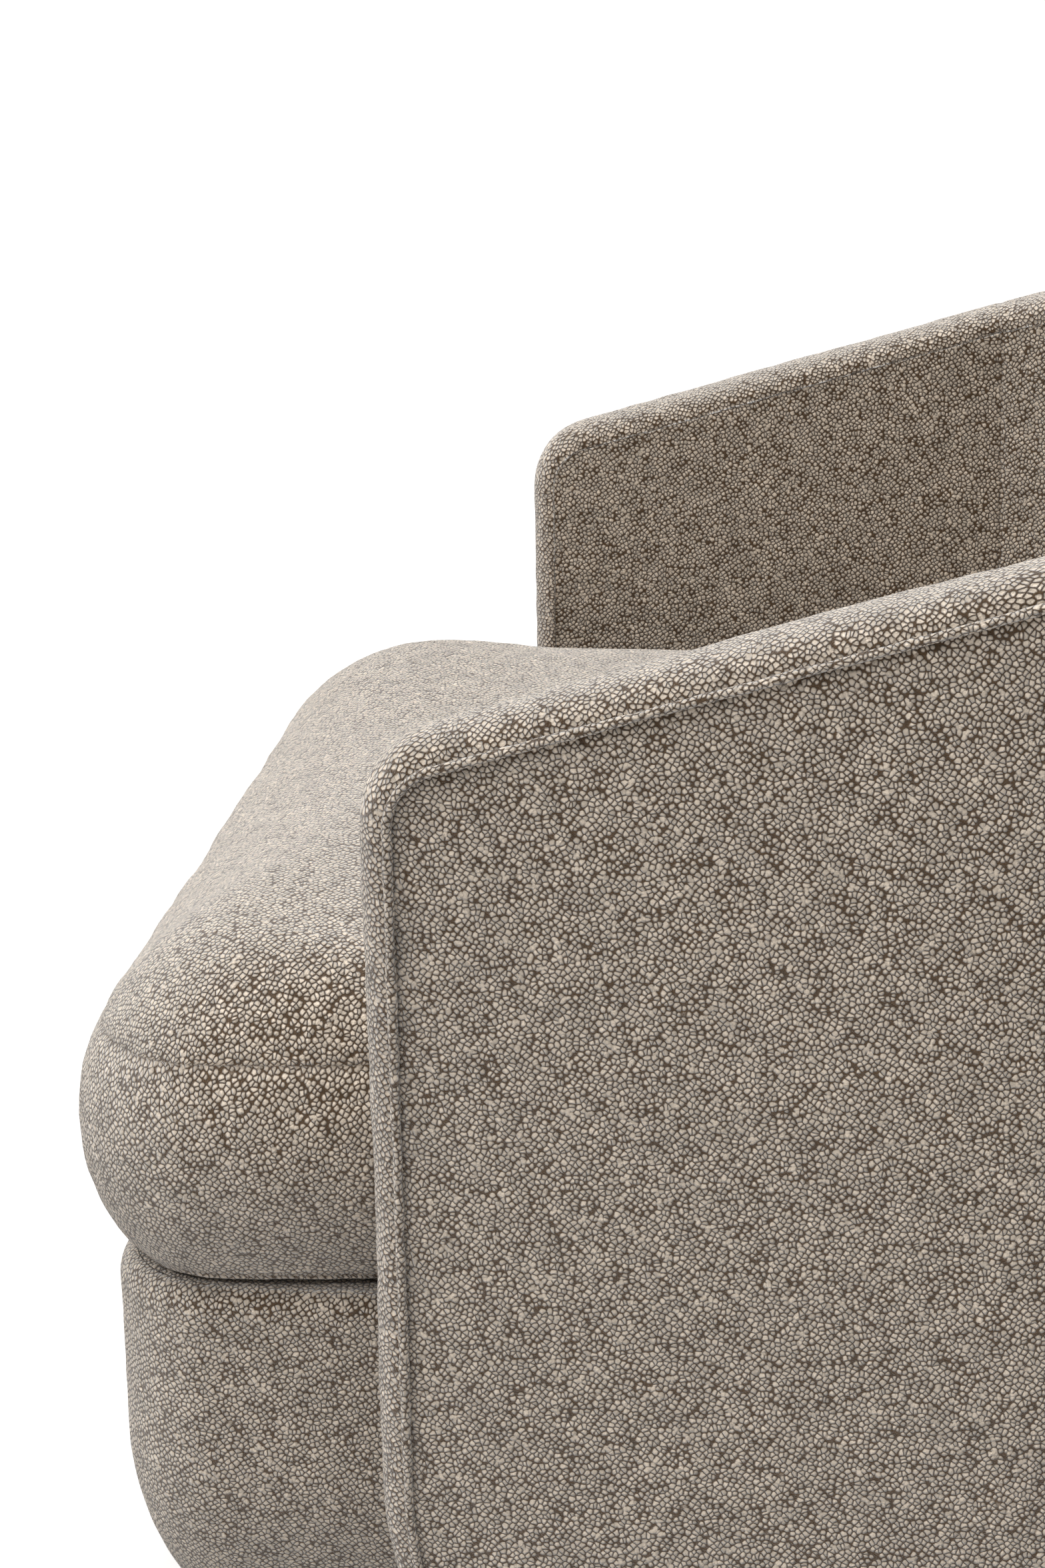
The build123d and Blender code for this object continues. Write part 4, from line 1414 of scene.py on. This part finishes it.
def tooth_tree(material):
    """Geometry Nodes tree that sets one tooth after another along a line, to both sides of it."""
    tree = bpy.data.node_groups.new("zip_teeth", "GeometryNodeTree")
    face = tree.interface
    face.new_socket(name="Geometry", in_out="INPUT", socket_type="NodeSocketGeometry")
    for label, value in TOOTH_SIZES.items():
        socket = face.new_socket(name=label, in_out="INPUT", socket_type="NodeSocketFloat")
        socket.default_value = value
    face.new_socket(name="Geometry", in_out="OUTPUT", socket_type="NodeSocketGeometry")
    start, end = tree.nodes.new("NodeGroupInput"), tree.nodes.new("NodeGroupOutput")
    line = tree.nodes.new("GeometryNodeMeshToCurve")
    points = tree.nodes.new("GeometryNodeCurveToPoints")
    points.mode = "LENGTH"
    size = tree.nodes.new("ShaderNodeCombineXYZ")
    cube = tree.nodes.new("GeometryNodeMeshCube")
    divide = tree.nodes.new("GeometryNodeSubdivisionSurface")
    place = tree.nodes.new("GeometryNodeInstanceOnPoints")
    number = tree.nodes.new("GeometryNodeInputIndex")
    odd = tree.nodes.new("ShaderNodeMath")
    odd.operation = "MODULO"
    odd.inputs[1].default_value = 2.0
    shift = tree.nodes.new("ShaderNodeMath")
    shift.operation = "MULTIPLY_ADD"
    shift.inputs[1].default_value = TOOTH_STAGGER
    shift.inputs[2].default_value = -TOOTH_STAGGER / 2
    offset = tree.nodes.new("ShaderNodeCombineXYZ")
    move = tree.nodes.new("GeometryNodeSetPosition")
    real = tree.nodes.new("GeometryNodeRealizeInstances")
    finish = tree.nodes.new("GeometryNodeSetMaterial")
    finish.inputs["Material"].default_value = material
    join = tree.links.new
    join(start.outputs["Geometry"], line.inputs["Mesh"])
    join(line.outputs["Curve"], points.inputs["Curve"])
    join(start.outputs["Spacing"], points.inputs["Length"])
    join(start.outputs["Tooth width"], size.inputs["X"])
    join(start.outputs["Tooth height"], size.inputs["Y"])
    join(start.outputs["Tooth length"], size.inputs["Z"])
    join(size.outputs[0], cube.inputs["Size"])
    join(cube.outputs["Mesh"], divide.inputs["Mesh"])
    join(number.outputs[0], odd.inputs[0])
    join(odd.outputs[0], shift.inputs[0])
    join(shift.outputs[0], offset.inputs["Z"])
    join(points.outputs["Points"], move.inputs["Geometry"])
    join(offset.outputs[0], move.inputs["Offset"])
    join(move.outputs["Geometry"], place.inputs["Points"])
    join(divide.outputs["Mesh"], place.inputs["Instance"])
    join(place.outputs["Instances"], real.inputs["Geometry"])
    join(real.outputs["Geometry"], finish.inputs["Geometry"])
    join(finish.outputs["Geometry"], end.inputs["Geometry"])
    return tree


class ARMCHAIR_OT_zip(bpy.types.Operator):
    """The zip across the rear of the cushion: woven tape and teeth; its slider is one of the CAD
    parts
    """

    bl_idname = "armchair.zip"
    bl_label = "Zip"

    def execute(self, context):
        low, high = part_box("zip_tape")
        weave = plain_cloth("zip_weave", (0.47, 0.41, 0.35), 0.0007)
        middle = (low.z + high.z) / 2
        points, uvs = [], []
        columns, rows = 90, 9
        for x in steps(low.x, high.x, columns):
            for z in steps(low.z, high.z, rows):
                off = abs(z - middle) / (high.z - low.z) * 2
                uneven = noise.noise(Vector((x * 70, z * 70, 1.0)))
                lift = 0.0007 * (1.0 - off ** 2) + 0.0002 * uneven
                points.append(Vector((x, high.y - 0.0022 + lift, z)))
                uvs.append((x, z))
        faces = grid_faces(columns, rows, flip=True)
        tape = make_object("zip_tape_cloth", points, faces, uvs, weave)
        wall = tape.modifiers.new("wall", "SOLIDIFY")
        wall.thickness = 0.0006
        wall.offset = -1.0
        bake(tape)
        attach(tape, CUSHION)
        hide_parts("zip_tape")

        metal = hard_finish(
            "zip_teeth_metal", (0.50, 0.47, 0.42), (0.36, 0.33, 0.29), 0.34, 300.0, 1.0,
        )
        mesh = bpy.data.meshes.new("zip_teeth")
        margin, y = 0.006, high.y - 0.0010
        ends = [(low.x + margin, y, middle), (high.x - margin, y, middle)]
        mesh.from_pydata(ends, [(0, 1)], [])
        teeth = bpy.data.objects.new("zip_teeth", mesh)
        bpy.context.scene.collection.objects.link(teeth)
        modifier = teeth.modifiers.new("teeth", "NODES")
        modifier.node_group = tooth_tree(metal)
        for item in modifier.node_group.interface.items_tree:
            if item.in_out == "INPUT" and item.name in TOOTH_SIZES:
                modifier[item.identifier] = TOOTH_SIZES[item.name]
        bake(teeth)
        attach(teeth, CUSHION)
        return {"FINISHED"}


# ---------------------------------------------------------------- frame

# Starts of the CAD parts' names, and the finish of each.
FRAME_FINISHES = (
    ("arm_", "wood"), ("back_webbing", "webbing"), ("back_", "wood"), ("base_", "wood"),
    ("corner_", "wood"), ("nose_rail", "wood"), ("nose_panel", "plywood"),
    ("liner_boards", "plywood"), ("outer_board", "plywood"), ("seat_webbing", "webbing"),
    ("outer_wadding", "wadding"), ("cushion_wrap", "wadding"), ("border_foam", "foam"),
    ("inner_foam", "foam"), ("nose_foam", "foam"), ("deck_foam", "foam"),
    ("cushion_foam", "foam"), ("bolt_washers", "zinc"), ("frame_bolts", "zinc"),
    ("glide_nails", "zinc"), ("glides", "glide"), ("zip_slider", "slider"),
)


class ARMCHAIR_OT_frame_finishes(bpy.types.Operator):
    """Finishes of the timber, boards, foam, webbing and metal parts of the frame"""

    bl_idname = "armchair.frame_finishes"
    bl_label = "Frame finishes"

    def execute(self, context):
        made = {
            "wood": hard_finish(
                "beech", (0.56, 0.39, 0.24), (0.45, 0.29, 0.16), 0.62, 26.0,
                stretch=(1.0, 0.25, 6.0),
            ),
            "plywood": hard_finish(
                "poplar_ply", (0.62, 0.49, 0.33), (0.52, 0.39, 0.25), 0.66, 22.0,
                stretch=(0.4, 0.4, 5.0),
            ),
            "webbing": plain_cloth("seat_webbing_weave", (0.24, 0.17, 0.10), 0.0022, 0.7),
            "wadding": hard_finish(
                "wadding_white", (0.86, 0.86, 0.84), (0.74, 0.74, 0.72), 0.95, 90.0, relief=0.002,
            ),
            "foam": hard_finish(
                "cut_foam", (0.86, 0.80, 0.62), (0.78, 0.70, 0.50), 0.95, 420.0, relief=0.001,
            ),
            "zinc": hard_finish(
                "zinc_plate", (0.66, 0.67, 0.68), (0.50, 0.51, 0.53), 0.36, 160.0, 1.0,
            ),
            "glide": hard_finish(
                "glide_nylon", (0.060, 0.058, 0.056), (0.10, 0.098, 0.094), 0.52, 120.0,
            ),
            "slider": hard_finish(
                "slider_metal", (0.52, 0.49, 0.44), (0.38, 0.35, 0.31), 0.32, 260.0, 1.0,
            ),
        }
        for name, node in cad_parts.items():
            for start, finish in FRAME_FINISHES:
                if name.startswith(start):
                    if not node.material_slots:
                        raise RuntimeError(name + " has no material slot")
                    for slot in node.material_slots:
                        slot.material = made[finish]
                    break
        return {"FINISHED"}


# ---------------------------------------------------------------- stage

CAMERA_PLACE = (1.739, 0.0775, 1.043)
CAMERA_TURNS = ((5.6, "Y"), (-12.3, "X"), (-0.9, "Z"))  # degrees about the camera's own axes


class ARMCHAIR_OT_stage(bpy.types.Operator):
    """Pale floor, soft daylight from above and the camera"""

    bl_idname = "armchair.stage"
    bl_label = "Stage"

    def execute(self, context):
        scene = context.scene
        reach = 60.0
        corners = [(-reach, -reach, 0), (reach, -reach, 0), (reach, reach, 0), (-reach, reach, 0)]
        mesh = bpy.data.meshes.new("floor")
        mesh.from_pydata(corners, [], [(0, 1, 2, 3)])
        floor = bpy.data.objects.new("floor", mesh)
        scene.collection.objects.link(floor)
        pale, tree, shader = new_material("pale_floor")
        grain = add_noise(tree, own_axes(tree), 3.0)["Fac"]
        tone = mix_colour(tree, grain, (0.52, 0.512, 0.505, 1.0), (0.55, 0.542, 0.535, 1.0))
        tree.links.new(tone, shader.inputs["Base Color"])
        seen = add_node(tree, "ShaderNodeLightPath").outputs["Is Camera Ray"]
        shader.inputs["Emission Color"].default_value = (1.0, 1.0, 1.0, 1.0)
        tree.links.new(calc(tree, "MULTIPLY", seen, 0.30), shader.inputs["Emission Strength"])
        shader.inputs["Roughness"].default_value = 0.9
        mesh.materials.append(pale)

        world = scene.world or bpy.data.worlds.new("studio")
        scene.world = world
        world.use_nodes = True
        sky = world.node_tree.nodes["Background"]
        sky.inputs["Color"].default_value = (1.0, 0.99, 0.98, 1.0)
        # The backdrop is white to look at and dim as a light.
        dim, bright = 0.24, 1.0
        backdrop = world.node_tree
        sight = add_node(backdrop, "ShaderNodeLightPath").outputs["Is Camera Ray"]
        seen_sky = remap(backdrop, sight, 0.0, 1.0, dim, bright, smooth=False)
        backdrop.links.new(seen_sky, sky.inputs["Strength"])

        data = bpy.data.lights.new("daylight", "SUN")
        data.energy = 4.9
        data.angle = math.radians(80)
        daylight = bpy.data.objects.new("daylight", data)
        scene.collection.objects.link(daylight)
        above = Vector((0.0, -1.1, 2.75))
        daylight.location = above
        daylight.rotation_euler = (-above).to_track_quat("-Z", "Y").to_euler()

        data = bpy.data.cameras.new("camera")
        data.sensor_width = 36.0
        data.lens = 64.5
        data.shift_x, data.shift_y = -0.057, -0.22
        data.clip_end = 200.0
        camera = bpy.data.objects.new("camera", data)
        scene.collection.objects.link(camera)
        turn = Matrix(((0, 0, 1), (1, 0, 0), (0, 1, 0)))  # level, and looking along -X
        for angle, axis in CAMERA_TURNS:
            turn = turn @ Matrix.Rotation(math.radians(angle), 3, axis)
        camera.matrix_world = Matrix.Translation(CAMERA_PLACE) @ turn.to_4x4()
        scene.camera = camera
        scene.view_settings.view_transform = "Standard"
        return {"FINISHED"}


# ---------------------------------------------------------------- panel and run

STEPS = (
    ARMCHAIR_OT_stage,
    ARMCHAIR_OT_frame_finishes,
    ARMCHAIR_OT_outer_panels,
    ARMCHAIR_OT_inner_wrap,
    ARMCHAIR_OT_welt,
    ARMCHAIR_OT_base_cover,
    ARMCHAIR_OT_cushion,
    ARMCHAIR_OT_zip,
)


class ARMCHAIR_PT_panel(bpy.types.Panel):
    """Lists the armchair's sizes and its making steps"""

    bl_idname = "ARMCHAIR_PT_panel"
    bl_label = "Armchair"
    bl_space_type = "VIEW_3D"
    bl_region_type = "UI"
    bl_category = "Armchair"

    def draw(self, context):
        for holder in settings():
            column = self.layout.column(align=True)
            for name in holder.__annotations__:
                column.prop(holder, name)
        for step in STEPS:
            self.layout.operator(step.bl_idname)


HOLDERS = (
    ("shell_settings", ShellSettings),
    ("seat_settings", SeatSettings),
    ("cloth_settings", ClothSettings),
)


def register():
    for _, holder in HOLDERS:
        bpy.utils.register_class(holder)
    for step in STEPS:
        bpy.utils.register_class(step)
    bpy.utils.register_class(ARMCHAIR_PT_panel)
    for name, holder in HOLDERS:
        setattr(bpy.types.Scene, name, bpy.props.PointerProperty(type=holder))


def unregister():
    for name, _ in HOLDERS:
        delattr(bpy.types.Scene, name)
    bpy.utils.unregister_class(ARMCHAIR_PT_panel)
    for step in reversed(STEPS):
        bpy.utils.unregister_class(step)
    for _, holder in reversed(HOLDERS):
        bpy.utils.unregister_class(holder)


def main():
    register()
    for step in STEPS:
        group, name = step.bl_idname.split(".")
        getattr(getattr(bpy.ops, group), name)()


if __name__ == "__main__":
    main()
